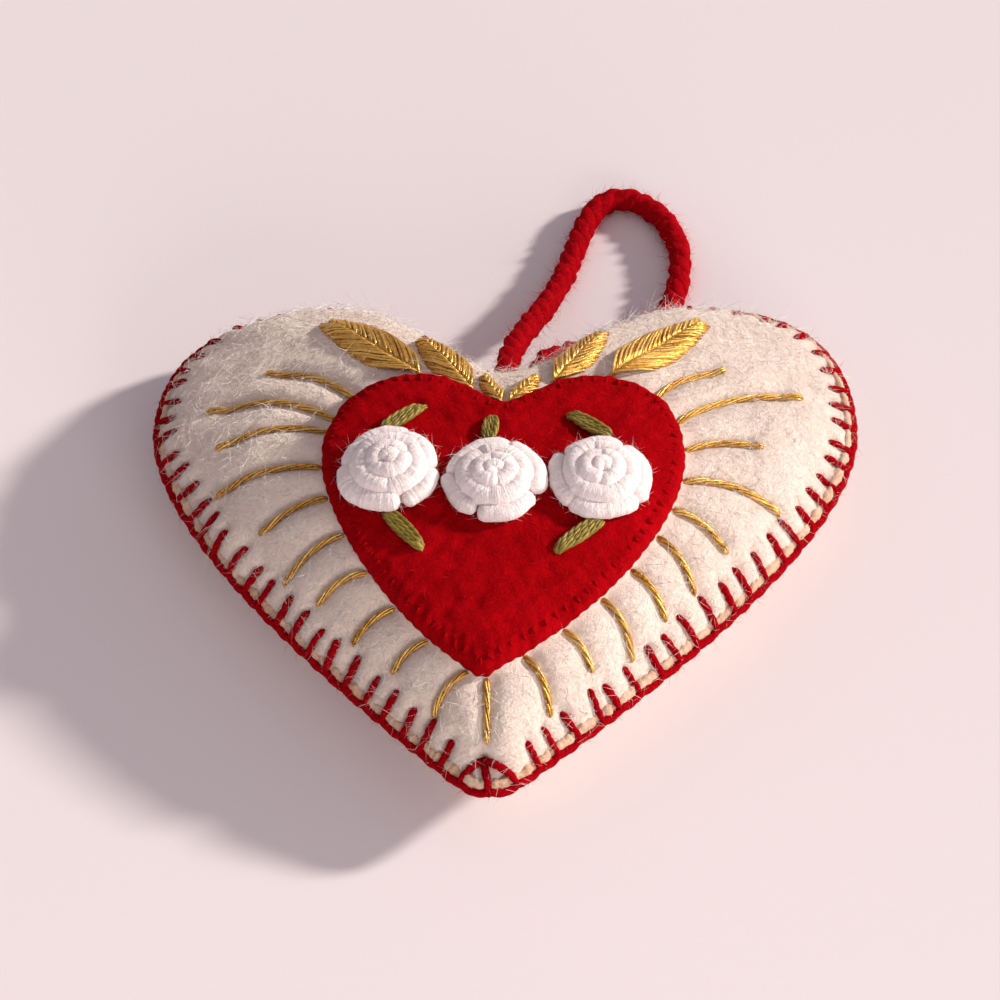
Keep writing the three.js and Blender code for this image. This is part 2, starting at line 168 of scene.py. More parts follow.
RAY_START = 0.6 * MM
RAY_CLEAR = 1.2 * MM
RAY_DIP = 0.8 * MM
RAY_STEP = 0.34 * MM
RAY_PLIES, RAY_PITCH, RAY_SIDES, RAY_TIP, RAY_FULL = 5, 13 * MM, 5, 0.35, 0.5
OUTER_LEAF = (21.6 * MM, 7.7 * MM)
INNER_LEAF = (14.6 * MM, 6.0 * MM)
SMALL_LEAF = (5.8 * MM, 3.0 * MM)
GOLD_LEAVES = (
    (122, 139, OUTER_LEAF),
    (106, 127, INNER_LEAF),
    (92.5, 117, SMALL_LEAF),
    (86.5, 54, SMALL_LEAF),
    (69.5, 58.5, INNER_LEAF),
    (53, 46, OUTER_LEAF),
)
LEAF_GAP = 2 * MM
LEAF_NEARER = 1.0 * MM
SMALL_LEAF_NEARER = 1.9 * MM
SMALL_LEAF_BELOW = 10 * MM
UPPER_GREEN = (6.8 * MM, 2.6 * MM)
MIDDLE_GREEN = (3.7 * MM, 2.6 * MM)
LOWER_GREEN = (8.2 * MM, 1.3 * MM)
GREEN_LEAVES = (
    (0, 101, 38, UPPER_GREEN),
    (1, 99, 84, MIDDLE_GREEN),
    (2, 81, 146, UPPER_GREEN),
    (0, 267, -50, LOWER_GREEN),
    (2, 272, 222, LOWER_GREEN),
)
GREEN_UNDER_ROSE = 1.6 * MM
LEAF_BLADE = 0.84

# The coats of loose fibres. Stand is the share of a fibre's way that is square to the surface, and thick
# is against the usual fibre. No fibre is more than LONGEST_FIBRE times as long as its coat's usual one
Coat = namedtuple("Coat", "length stand curl thick seed colour")
# Fibre colours are painted lighter than the felt and wool they grow from, as painted light on fibres that catch
# the light.
CREAM_FIBRE = (1.0, 0.91, 0.83)
RED_WOOL_FIBRE = (0.66, 0.01, 0.02)
FRONT_COAT = Coat(2.8 * MM, 0.45, 1.1, 2.0, 21, CREAM_FIBRE)
# The edge fibres' tan is painted shade and a painted red reflection, as on the cut edge.
EDGE_COAT = Coat(1.3 * MM, 0.9, 0.6, 2.2, 25, (0.86, 0.62, 0.48))
BACK_COAT = Coat(2.6 * MM, 0.45, 1.1, 2.0, 31, CREAM_FIBRE)
STITCH_COAT = Coat(1.2 * MM, 0.9, 0.9, 1.8, 43, RED_WOOL_FIBRE)
CORD_COAT = Coat(1.7 * MM, 0.8, 0.9, 1.8, 51, RED_WOOL_FIBRE)
# Painted light: the red felt's fibres are lighter than the red felt.
RED_COAT = Coat(1.1 * MM, 0.5, 0.6, 1.8, 61, (0.62, 0.014, 0.02))
# Painted red reflection: the rose fibres are pinker than the rose thread.
ROSE_COAT = Coat(1.4 * MM, 0.4, 1.5, 1.6, 73, (0.95, 0.78, 0.76))
LONGEST_FIBRE = 2.3
FIBRE_ROOT = 0.15 * MM
FIBRE_RISE = (0.3, 1.7)
FIBRE_TAPER = (1, 0.85)
CLEAR_OF_SEAM = 0.4 * MM
CLEAR_OF_FLOOR = 0.3 * MM

# The cord's route, from the tip and the seam plane, in millimetres
CORD_ROUTE = (
    (-0.5, 77.4, 2.0), (-0.3, 80.2, 2.4), (0.1, 83, 1.8), (0.9, 88.3, 0.2), (2.9, 95, -2.2), (5.6, 102, -4.6),
    (7.9, 109.2, -6.6), (9.7, 116, -7.7), (11.3, 122.2, -7.9), (13.3, 127.4, -7.9), (16.4, 130, -7.9),
    (20.2, 129.6, -7.9), (23.8, 126.9, -7.9), (26.3, 123, -7.9), (27.7, 118.1, -7.9), (27.9, 113.4, -7.9),
    (27.2, 108.4, -7.9), (25.6, 103.6, -7.6), (22.6, 99.6, -6.6), (18.4, 95.8, -5.2), (13.8, 92, -3.6),
    (10.1, 89.2, -1.8), (7, 86.5, -0.2), (5.4, 83.4, 1), (4.4, 80.4, 1),
)

# Camera and lights
CAMERA_ELEVATION = 49.9 * TURN
CAMERA_AZIMUTH = 3.37 * TURN
CAMERA_ROLL = -1.89 * TURN
CAMERA_DISTANCE = 0.6541
CAMERA_TARGET = (-0.2 * MM, TIP + 56.38 * MM, SEAM)
CAMERA_LENS = 149.4
CAMERA_NEAR = 0.01
SUN_BEHIND = 18 * TURN
SUN_ELEVATION = 23 * TURN
SUN_WIDTH = 5.5 * TURN
SUN_POWER = 4.45
SUN_COLOUR = (1.0, 0.93, 0.87)
FILL_PLACE = (0.45, -0.9, 0.28)
FILL_SIZE = 0.5
FILL_POWER = 5.5
FILL_COLOUR = (1.0, 0.92, 0.86)
SKY_COLOUR = (1.0, 0.91, 1.0, 1)
SKY_STRENGTH = 0.395
FLOOR_REACH = 12.0


def length(name, about, millimetres):
    """A length that a maker would change."""
    return FloatProperty(name=name, description=about, default=millimetres * MM, unit="LENGTH")


def colour(name, about, value):
    """A colour that a maker would change."""
    return FloatVectorProperty(name=name, description=about, default=value, subtype="COLOR")


def amount(name, about, value):
    """A number of fibres."""
    return IntProperty(name=name, description=about, default=value)


class HeartSizes(bpy.types.PropertyGroup):
    """The sizes that a maker would change."""

    stitch_pitch: length("Stitch Pitch", "Distance between blanket stitches", 4.2)
    stitch_length: length("Stitch Length", "How far a stitch reaches over the felt", 2.2)
    stitch_thread: length("Stitch Thread", "Thickness of the red sewing wool", 1.2)
    red_felt: length("Red Felt", "Thickness of the red heart's felt", 1.5)
    red_pitch: length("Red Stitch Pitch", "Distance between the small stitches round the red heart", 2.1)
    ray_thread: length("Ray Thread", "Thickness of the gold ray threads", 1.1)
    leaf_filament: length("Leaf Filament", "Thickness of one gold filament", 0.42)
    rose_wrap: length("Rose Wrap", "Distance between the wraps of a rose petal", 0.43)
    cord_thickness: length("Cord Thickness", "Diameter of the hanging cord", 3.6)
    lump: length("Stuffing Lumps", "Height of the soft unevenness of the stuffing", 0.3)


class HeartColours(bpy.types.PropertyGroup):
    """The colours of the felts and threads."""

    cream: colour("Cream Felt", "Colour of the stuffed felt", (0.98, 0.82, 0.71))
    # The cut edges' tan is the cream felt with painted shade and a painted red reflection from the wool.
    tan: colour("Cut Edge", "Colour of the felt's cut edges", (0.86, 0.6, 0.42))
    red_felt: colour("Red Felt", "Colour of the red heart", (0.46, 0.001, 0.004))
    red_wool: colour("Red Wool", "Colour of the sewing wool and cord", (0.46, 0.001, 0.006))
    white: colour("Rose Thread", "Colour of the roses", (0.93, 0.84, 0.81))
    gold: colour("Gold Thread", "Colour of the gold thread", (0.84, 0.41, 0.055))
    # Painted shade: the gold thread's colour in its folds, where shade falls.
    gold_deep: colour("Deep Gold", "Colour of the gold thread in its folds", (0.15, 0.045, 0.004))
    olive: colour("Olive Thread", "Colour of the green leaves", (0.28, 0.2, 0.018))
    floor: colour("Floor", "Colour of the pale floor", (0.82, 0.745, 0.75))


class HeartFuzz(bpy.types.PropertyGroup):
    """How hairy the wool is."""

    felt_count: amount("Felt Fibres", "Fibres on the front felt", 13500)
    back_count: amount("Back Fibres", "Fibres on the back felt", 3800)
    edge_count: amount("Edge Fibres", "Fibres on the cut edges", 2600)
    red_count: amount("Red Fibres", "Fibres on the red heart", 2600)
    wool_count: amount("Wool Fibres", "Fibres on the stitching wool", 5000)
    rose_count: amount("Rose Fibres", "Fibres on each rose", 2000)
    cord_count: amount("Cord Fibres", "Fibres on the hanging cord", 5500)
    thickness: length("Fibre Thickness", "Thickness of one fibre", 0.034)


# Plan and surface

def bearing_way(degrees):
    """The unit vector in plan at a bearing."""
    return np.array([math.cos(degrees * TURN), math.sin(degrees * TURN)])


def left_of(way):
    """A way in plan, turned a quarter to its left."""
    return np.array([-way[1], way[0]])


def bell(distance, width):
    """A bell-shaped fall from 1: e to the minus square of the distance over the width."""
    return np.exp(-(distance / width) ** 2)


def smooth(low, high, x):
    """0 below low, 1 above high, and 3u^2 - 2u^3 between."""
    u = np.clip((x - low) / (high - low), 0, 1)
    return u * u * (3 - 2 * u)


def bezier(corners, count):
    """A cubic Bezier curve: its four corners weighted by (1-t)^3, 3t(1-t)^2, 3t^2(1-t) and t^3."""
    t = np.linspace(0, 1, count, endpoint=False)[:, None]
    a, b, c, d = (np.array(p, float) for p in corners)
    return (1 - t) ** 3 * a + 3 * t * (1 - t) ** 2 * b + 3 * t * t * (1 - t) * c + t ** 3 * d


def heart_edge(width, height, widest, lobe, depth, tip, reach, rise):
    """A heart's edge, anticlockwise from its tip: four Bezier curves a side, from tip to lobe to cleft."""
    half = width / 2
    cleft = height - depth
    side = (TIP_END[0] * tip, TIP_END[1] * tip)
    lobe_side = lobe + LOBE_PULL[1] * (half - lobe)
    curves = (
        ((0, 0), (TIP_PULL[0] * tip, 0), (TIP_PULL[1] * tip, TIP_PULL[2] * tip), side),
        (side, (side[0] + reach * half, side[1] + rise * widest), (half, WIDEST_PULL * widest), (half, widest)),
        ((half, widest), (half, widest + LOBE_PULL[0] * (height - widest)), (lobe_side, height), (lobe, height)),
        ((lobe, height), (CLEFT_PULL[0] * lobe, height), (CLEFT_PULL[1] * lobe, cleft + CLEFT_PULL[2] * depth),
         (0, cleft)),
    )
    right = np.concatenate([bezier(c, CURVE_POINTS) for c in curves])
    left = np.concatenate([[[0, cleft]], right[:0:-1] * [-1, 1]])
    return np.concatenate([right, left])


def leaning(loop):
    """The red heart's lean: below its middle it moves to the left by the lean times the square of how far
    down it is, as a share of the way to the tip."""
    below = np.clip((RED_CENTRE[1] - loop[:, 1]) / (RED_CENTRE[1] - RED_TIP[1]), 0, 1)
    return loop - np.stack([RED_LEAN * below ** 2, np.zeros(len(loop))], -1)


class Edge:
    """A closed edge that gives places at a distance along it, and its reach from a centre by bearing."""

    def __init__(self, loop, centre):
        closed = np.concatenate([loop, loop[:1]])
        steps = np.hypot(*np.diff(closed, axis=0).T)
        self.closed = closed
        self.centre = centre
        self.along = np.concatenate([[0], np.cumsum(steps)])
        self.total = self.along[-1]
        spokes = loop - centre
        bearing = np.arctan2(spokes[:, 1], spokes[:, 0])
        order = np.argsort(bearing)
        self.bearing = bearing[order]
        self.far = np.hypot(*spokes.T)[order]

    def at(self, distance):
        """Places at distances along the edge, each between its two nearest points."""
        d = np.mod(distance, self.total)
        return np.stack([np.interp(d, self.along, self.closed[:, k]) for k in (0, 1)], -1)

    def outward(self, distance):
        """Unit vectors out of the edge: its direction over a short step, turned a quarter clockwise."""
        way = self.at(distance + EDGE_STEP) - self.at(distance - EDGE_STEP)
        way /= np.linalg.norm(way, axis=-1, keepdims=True)
        return np.stack([way[..., 1], -way[..., 0]], -1)

    def reach(self, bearing):
        """The distance from the centre to the edge at a bearing."""
        return np.interp(bearing, self.bearing, self.far, period=2 * math.pi)

    def polar(self, xy):
        """How far places are from the centre, and how far the edge is on their bearings."""
        spoke = xy - self.centre
        return np.hypot(spoke[..., 0], spoke[..., 1]), self.reach(np.arctan2(spoke[..., 1], spoke[..., 0]))

    def share(self, xy):
        """How far places are from the centre, as a share of the way to the edge."""
        far, edge = self.polar(xy)
        return far / edge


BODY = Edge(
    heart_edge(WIDTH, HEIGHT, WIDEST_AT, LOBE_OFFSET, CLEFT_DEPTH, TIP_RADIUS, SIDE_REACH, SIDE_RISE)
    + [0, TIP], CENTRE)
RED = Edge(
    leaning(heart_edge(RED_WIDTH, RED_HEIGHT, RED_WIDEST_AT, RED_LOBE_OFFSET, RED_CLEFT_DEPTH, RED_TIP_RADIUS,
                       RED_SIDE_REACH, RED_SIDE_RISE) + RED_TIP), RED_CENTRE)


def base_height(xy, bulge):
    """The stuffed surface over the seam: bulge times (1 - t^3)^0.6. t is the distance from the middle
    over a ring's radius, and the ring changes from a circle in the middle to the heart's edge at the seam."""
    far, edge = BODY.polar(xy)
    share = np.minimum(far / edge, 1)
    ring = MIDDLE_RADIUS + (edge - MIDDLE_RADIUS) * share ** RING_CHANGE
    t = np.minimum(share * edge / ring, 1)
    return bulge * (1 - t ** ROUNDNESS) ** SOFTNESS


def stitch_places(sizes):
    """The blanket stitches: each one's place on the edge, and its inner end, a stitch length inwards.
    The three at the tip meet in one point, as a fan."""
    count = round(BODY.total / sizes.stitch_pitch)
    rng = np.random.default_rng(STITCH_SEED)
    index = np.arange(count)
    jitter = rng.uniform(-STITCH_JITTER, STITCH_JITTER, count) * (index > 1)
    distance = (index + jitter) * BODY.total / count
    on_edge = BODY.at(distance)
    outward = BODY.outward(distance)
    along = np.stack([-outward[:, 1], outward[:, 0]], -1)
    reach = sizes.stitch_length * (1 + rng.uniform(-STITCH_UNEVEN, STITCH_UNEVEN, count))
    lean = rng.uniform(-STITCH_LEAN, STITCH_LEAN, count)[:, None] * MM
    inner = on_edge - outward * reach[:, None] + along * lean
    near_tip = np.minimum(index, count - index) <= 1
    inner[near_tip] = TIP_FAN
    return distance, on_edge, outward, inner


def ray_paths():
    """Each ray's plan: from the red heart's edge along its heading, bowed by a share of its length."""
    left = [(b, h, r, -RAY_BEND) for b, h, r in zip(LEFT_BEARINGS, LEFT_HEADINGS, LEFT_REACHES)]
    right = [(b, h, r, RAY_BEND) for b, h, r in zip(RIGHT_BEARINGS, RIGHT_HEADINGS, RIGHT_REACHES)]
    rows = [row for pair in zip(left, right) for row in pair] + [(*BOTTOM_RAY, 0)]
    paths = []
    for bearing, heading, share, bend in rows:
        out, way = bearing_way(bearing), bearing_way(heading)
        edge = float(RED.reach(bearing * TURN))
        start = RED_CENTRE + out * (edge + RAY_START)
        reach = share * (seam_distance(out) - edge - RAY_CLEAR)
        s = np.linspace(0, 1, RAY_POINTS)[:, None]
        paths.append(start + way * s * reach + left_of(way) * 4 * bend * reach * s * (1 - s))
    return paths


def seam_distance(way, halvings=40):
    """The distance from the red heart's middle to the seam: halving steps until the share out is 1."""
    low, high = 0.0, 2 * WIDTH
    for _ in range(halvings):
        middle = (low + high) / 2
        if BODY.share(RED_CENTRE + way * middle) < 1:
            low = middle
        else:
            high = middle
    return low


def from_point(xy, point):
    """Distances in plan from a point."""
    return np.hypot(*(xy - point).T).T


def from_segment(xy, a, b):
    """Distances in plan from a straight segment."""
    side = b - a
    t = np.clip(((xy - a) @ side) / (side @ side), 0, 1)
    return np.hypot(*(xy - a - t[..., None] * side).T).T


def lumps(xy, seed, longest, count=18, shortest=0.3):
    """Soft unevenness: a sum of sine waves with set directions and lengths, about 1 high at most."""
    rng = np.random.default_rng(seed)
    total = np.zeros(xy.shape[:-1])
    for _ in range(count):
        angle, phase = rng.uniform(0, 2 * math.pi, 2)
        wave = longest * rng.uniform(shortest, 1)
        along = xy[..., 0] * math.cos(angle) + xy[..., 1] * math.sin(angle)
        total += np.sin(2 * math.pi * along / wave + phase)
    return total / math.sqrt(count)


class Felt:
    """The felt's finished surface: the stuffed form, with the dents that stitches and rays press in."""

    def __init__(self, sizes, bulge, side):
        self.sizes = sizes
        self.bulge = bulge
        self.side = side
        self.stitches = stitch_places(sizes)
        self.rays = ray_paths() if side > 0 else []

    def relief(self, xy):
        """Height added square to the form: lumps, less a shallow trench under each stitch and ray, with a
        bell-shaped section, and a pinch at a stitch's inner end. It fades out at the seam."""
        total = self.sizes.lump * lumps(xy, FRONT_LUMPS if self.side > 0 else BACK_LUMPS, LUMP_LENGTH)
        _, on_edge, outward, inner = self.stitches
        for e, o, n in zip(on_edge, outward, inner):
            near = from_segment(xy, e + o * STITCH_ANCHOR, n)
            total -= STITCH_TRENCH[0] * bell(near, STITCH_TRENCH[1])
            total -= STITCH_PINCH[0] * bell(from_point(xy, n), STITCH_PINCH[1])
        for path in self.rays:
            near = np.ones(xy.shape[:-1])
            for a, b in zip(path[:-1:4], path[4::4]):
                near = np.minimum(near, from_segment(xy, a, b))
            total -= RAY_TRENCH[0] * bell(near, RAY_TRENCH[1]) + RAY_HOLLOW[0] * bell(near, RAY_HOLLOW[1])
        if self.side > 0:
            total += FULL_LOBE_LIFT * bell(from_point(xy, FULL_LOBE), FULL_LOBE_SIZE)
            red = RED.share(xy)
            total = total * smooth(*RED_FADE, red) - RED_DENT[0] * bell(red - 1, RED_DENT[1])
        return total * (1 - smooth(SEAM_FADE, 1.0, BODY.share(xy)))

    def slope(self, xy, step):
        """How fast the form rises along a step in plan."""
        rise = base_height(xy + step, self.bulge) - base_height(xy - step, self.bulge)
        return rise / (2 * SLOPE_STEP)

    def normal(self, xy):
        """The form's own direction, from its slope over a short step each way."""
        slope_x = self.slope(xy, np.array([SLOPE_STEP, 0]))
        slope_y = self.slope(xy, np.array([0, SLOPE_STEP]))
        n = np.stack([-slope_x, -slope_y, np.ones_like(slope_x)], -1)
        n /= np.linalg.norm(n, axis=-1, keepdims=True)
        return n * [1, 1, self.side]

    def place(self, xy, lift=0.0):
        """Points on the felt over places in plan, lifted square to the form by a height of their own."""
        n = self.normal(xy)
        z = SEAM + self.side * (base_height(xy, self.bulge) + SEAM_GAP / 2)
        base = np.concatenate([xy, z[..., None]], -1)
        return base + n * (self.relief(xy) + lift)[..., None]


def drooped(points):
    """The left lobe sags at its far side: points there go down by up to the droop, fading out with distance
    as a bell does, and in proportion to their height up to the seam."""
    far = np.hypot(points[:, 0] - DROOP_AT[0], points[:, 1] - DROOP_AT[1])
    down = DROOP * bell(far, DROOP_SIZE) * np.clip(points[:, 2] / SEAM, 0, 1)
    return points - np.stack([0 * down, 0 * down, down], -1)


# Meshes

def put(name, points, faces, lay=None, tone=None):
    """A smooth-shaded mesh object from an array of points and arrays of three- or four-sided faces.
    lay and tone are attributes of its points: a place round and along a thread, and a shade."""
    mesh = bpy.data.meshes.new(name)
    corners = np.concatenate([f.reshape(-1) for f in faces]).astype(np.int32)
    counts = np.concatenate([np.full(len(f), f.shape[1]) for f in faces]).astype(np.int32)
    starts = np.concatenate([[0], np.cumsum(counts)[:-1]]).astype(np.int32)
    mesh.vertices.add(len(points))
    mesh.vertices.foreach_set("co", points.astype(np.float32).reshape(-1))
    mesh.loops.add(len(corners))
    mesh.loops.foreach_set("vertex_index", corners)
    mesh.polygons.add(len(counts))
    mesh.polygons.foreach_set("loop_start", starts)
    mesh.update(calc_edges=True)
    mesh.polygons.foreach_set("use_smooth", np.ones(len(counts), bool))
    if lay is not None:
        mesh.attributes.new("lay", "FLOAT_VECTOR", "POINT").data.foreach_set(
            "vector", lay.astype(np.float32).reshape(-1))
    if tone is not None:
        mesh.attributes.new("tone", "FLOAT", "POINT").data.foreach_set("value", tone.astype(np.float32))
    return linked(name, mesh)


def linked(name, data):
    """A new object of the scene."""
    obj = bpy.data.objects.new(name, data)
    bpy.context.scene.collection.objects.link(obj)
    return obj


def read_points(mesh, field):
    """The places or normals of a mesh's points, as an array."""
    values = np.zeros(len(mesh.vertices) * 3, np.float32)
    mesh.vertices.foreach_get(field, values)
    return values.reshape(-1, 3)


def bumps(obj, height, seed, long=4.5 * MM, short=3 * MM):
    """Moves an object's points along their normals by soft lumps, as hand-spun wool swells and thins."""
    mesh = obj.data
    co = read_points(mesh, "co").astype(float)
    swell = lumps(co[:, :2], seed, long) + lumps(co[:, 1:], seed + 1, short)
    co += read_points(mesh, "normal") * (0.5 * height * swell)[:, None]
    mesh.vertices.foreach_set("co", co.astype(np.float32).reshape(-1))
    mesh.update()


def grid_faces(rows, columns, first=0, flip=False):
    """Four-sided faces between neighbouring rows of a grid whose rows close on themselves."""
    i, j = np.meshgrid(np.arange(rows - 1), np.arange(columns), indexing="ij")
    k = (j + 1) % columns
    quads = np.stack([i * columns + j, i * columns + k, (i + 1) * columns + k, (i + 1) * columns + j], -1)
    quads = quads.reshape(-1, 4) + first
    return quads[:, ::-1] if flip else quads


def fan_faces(pole, ring, flip=False):
    """Three-sided faces from one point to a closed ring of points."""
    around = np.stack([np.full(len(ring), pole), ring, np.roll(ring, -1)], -1)
    return around[:, ::-1] if flip else around


def dome(top, bottom, flip=False):
    """A closed shell from rings of points: top and bottom are (point, rings) from a pole to the rim, and a
    band of faces joins the two rims."""
    (pole, rings), (under, lower) = top, bottom
    count = rings.shape[1]
    points = np.concatenate([pole[None], rings.reshape(-1, 3), under[None], lower.reshape(-1, 3)])
    below = 1 + rings.shape[0] * count
    rim_up = 1 + (rings.shape[0] - 1) * count + np.arange(count)
    rim_down = below + 1 + (lower.shape[0] - 1) * count + np.arange(count)
    ring = np.arange(count)
    side = np.stack([rim_up, rim_down, np.roll(rim_down, -1), np.roll(rim_up, -1)], -1)
    faces = [
        fan_faces(0, 1 + ring, flip),
        grid_faces(rings.shape[0], count, 1, not flip),
        fan_faces(below, below + 1 + ring, not flip),
        grid_faces(lower.shape[0], count, below + 1, flip),
        side[:, ::-1] if flip else side,
    ]
    return points, [f for f in faces if len(f)]


def travelled(points):
    """The distance along a line at each of its points."""
    return np.concatenate([[0], np.cumsum(np.linalg.norm(np.diff(points, axis=0), axis=1))])


def path_frame(path, up):
    """A path's sideways and upright directions, square to it, and the distance along it."""
    way = np.gradient(path, axis=0)
    way /= np.linalg.norm(way, axis=1, keepdims=True)
    side = np.cross(way, up)
    side /= np.linalg.norm(side, axis=1, keepdims=True)
    return side, np.cross(side, way), travelled(path)


def thread(path, up, radius, sides, pitch=1.0, lay_radius=1.5):
    """A closed thread along a path: rings square to it, set upright by up, with a point at both ends.
    The radius may change along it and round it. Its lay turns once round it in each pitch."""
    side, high, s = path_frame(path, up)
    angle = np.linspace(0, 2 * math.pi, sides, endpoint=False)[None] + np.zeros((len(path), 1))
    twist = 2 * math.pi * s[:, None] / pitch
    r = np.asarray(radius, float)
    r = r if r.ndim == 2 else np.broadcast_to(r, (len(path),))[:, None]
    rings = path[:, None] + r[..., None] * (
        np.cos(angle)[..., None] * side[:, None] + np.sin(angle)[..., None] * high[:, None])
    lay = np.stack([np.broadcast_to(s[:, None], angle.shape) / MM, lay_radius * np.cos(angle - twist),
                    lay_radius * np.sin(angle - twist)], -1)
    points = np.concatenate([rings.reshape(-1, 3), path[:1], path[-1:]])
    lay = np.concatenate([lay.reshape(-1, 3), [[0, 0, 0]], [[s[-1] / MM, 0, 0]]])
    count = len(path) * sides
    last = count - sides + np.arange(sides)
    faces = [
        grid_faces(len(path), sides, 0, True),
        fan_faces(count, np.arange(sides)),
        fan_faces(count + 1, last, True),
    ]
    return points, faces, lay


def plied(path, up, thickness, plies, pitch, sides, turn=0.0, tip=0.25, full=0.62):
    """Threads twisted round each other along a path: each one's path circles the middle one once in each
    pitch. A full ply is thicker and nearer to the middle, so that the thread stays as thick."""
    side, high, s = path_frame(path, up)
    one = thickness / (1 + 1 / math.sin(math.pi / plies))
    off = thickness / 2 - full * one
    ends = np.clip(np.minimum(s, s[-1] - s) / thickness, 0, 1)
    narrow = tip + (1 - tip) * np.sqrt(ends)
    made = []
    for k in range(plies):
        angle = turn + 2 * math.pi * (s / pitch + k / plies)
        shift = np.cos(angle)[:, None] * side + np.sin(angle)[:, None] * high
        made.append(thread(path + off * narrow[:, None] * shift, up, full * one * narrow, sides, pitch / 2))
    return made


class Bundle:
    """Collects parts of one piece, and makes them one mesh."""

    def __init__(self):
        self.points, self.faces, self.lays, self.tones, self.count = [], [], [], [], 0

    def add(self, part, tone=0.5):
        points, faces, lay = part
        self.points.append(points)
        self.faces += [f + self.count for f in faces]
        self.lays.append(lay)
        self.tones.append(np.full(len(points), tone))
        self.count += len(points)

    def make(self, name):
        return put(name, drooped(np.concatenate(self.points)), self.faces, np.concatenate(self.lays),
                   np.concatenate(self.tones))


def resample(points, step):
    """The same line with even steps."""
    s = travelled(points)
    count = max(4, int(round(s[-1] / step)) + 1)
    even = np.linspace(0, s[-1], count)
    return np.stack([np.interp(even, s, points[:, k]) for k in range(points.shape[1])], -1)


def spline(points, per_piece):
    """A smooth line through points: between each two, a cubic whose slopes are the neighbours' directions."""
    p = np.array(points, float)
    padded = np.concatenate([2 * p[:1] - p[1:2], p, 2 * p[-1:] - p[-2:-1]])
    t = np.linspace(0, 1, per_piece, endpoint=False)[:, None]
    pieces = []
    for a, b, c, d in zip(padded, padded[1:], padded[2:], padded[3:]):
        pieces.append(0.5 * (2 * b + (c - a) * t + (2 * a - 5 * b + 4 * c - d) * t ** 2
                             + (3 * b - a - 3 * c + d) * t ** 3))
    return np.concatenate([*pieces, p[-1:]])


def fibres(roots, normals, lengths, thickness, stand, curl, seed):
    """Loose fibres: each leaves its root at a slant, stand being the share of its way that is square to the
    surface. It bends along the surface by a random curl that grows with the square of the distance, and back
    by another that grows with its cube, and its tip is no farther away than its length. A fibre has three
    sides, two rings and a point."""
    rng = np.random.default_rng(seed)
    count = len(roots)
    loose = rng.normal(size=(count, 3))
    loose -= (loose * normals).sum(1, keepdims=True) * normals
    loose /= np.linalg.norm(loose, axis=1, keepdims=True)
    rise = (stand * rng.uniform(*FIBRE_RISE, count))[:, None]
    way = loose + normals * rise
    way /= np.linalg.norm(way, axis=1, keepdims=True)
    bends = rng.normal(size=(2, count, 3)) * curl
    bends -= (bends * normals).sum(2, keepdims=True) * normals
    bend, back = bends[:, :, None]
    u = np.array([0, 0.5, 1])[None, :, None]
    reach = np.linalg.norm(way[:, None] + bend - back, axis=2, keepdims=True)
    run = lengths[:, None, None] / np.maximum(reach, 1)
    middle = roots[:, None] + run * (way[:, None] * u + bend * u ** 2 - back * u ** 3)
    side = np.cross(way, normals)
    side /= np.linalg.norm(side, axis=1, keepdims=True) + 1e-12
    other = np.cross(way, side)
    angle = np.arange(3) * 2 * math.pi / 3
    ring = np.cos(angle)[:, None] * side[:, None] + np.sin(angle)[:, None] * other[:, None]
    wide = 0.5 * thickness * np.array(FIBRE_TAPER)[None, :, None, None]
    rings = (middle[:, :2, None] + wide * ring[:, None]).reshape(count, 6, 3)
    points = np.concatenate([rings, middle[:, 2:]], 1)
    first = 7 * np.arange(count)[:, None, None]
    quads = np.array([[0, 1, 4, 3], [1, 2, 5, 4], [2, 0, 3, 5]])
    tips = np.array([[2, 1, 0], [3, 4, 6], [4, 5, 6], [5, 3, 6]])
    return points.reshape(-1, 3), [(quads + first).reshape(-1, 4), (tips + first).reshape(-1, 3)]


def scattered(obj, count, seed, keep=None):
    """Places spread evenly over an object's faces, with the faces' directions: a face is drawn by its area."""
    mesh = obj.data
    mesh.calc_loop_triangles()
    triangles = np.zeros(len(mesh.loop_triangles) * 3, np.int32)
    mesh.loop_triangles.foreach_get("vertices", triangles)
    corners = read_points(mesh, "co").astype(float)[triangles.reshape(-1, 3)]
    square = np.cross(corners[:, 1] - corners[:, 0], corners[:, 2] - corners[:, 0])
    area = np.linalg.norm(square, axis=1)
    if keep is not None:
        area = area * keep(corners.mean(1))
    rng = np.random.default_rng(seed)
    pick = rng.choice(len(area), count, p=area / area.sum())
    u, v = rng.uniform(size=(2, count, 1))
    over = (u + v) > 1
    u, v = np.where(over, 1 - u, u), np.where(over, 1 - v, v)
    c = corners[pick]
    normals = square[pick] / (np.linalg.norm(square[pick], axis=1, keepdims=True) + 1e-20)
    return c[:, 0] + u * (c[:, 1] - c[:, 0]) + v * (c[:, 2] - c[:, 0]), normals


# Materials

class Wire:
    """A node's output. Sums on it add the Math nodes they need."""

    def __init__(self, graph, socket):
        self.graph = graph
        self.socket = socket

    def _sum(self, operation, *values):
        return self.graph.node("ShaderNodeMath", {"operation": operation}, dict(enumerate(values)))

    def __add__(self, other):
        return self._sum("ADD", self, other)

    __radd__ = __add__

    def __sub__(self, other):
        return self._sum("SUBTRACT", self, other)

    def __rsub__(self, other):
        return self._sum("SUBTRACT", other, self)

    def __mul__(self, other):
        return self._sum("MULTIPLY", self, other)

    __rmul__ = __mul__


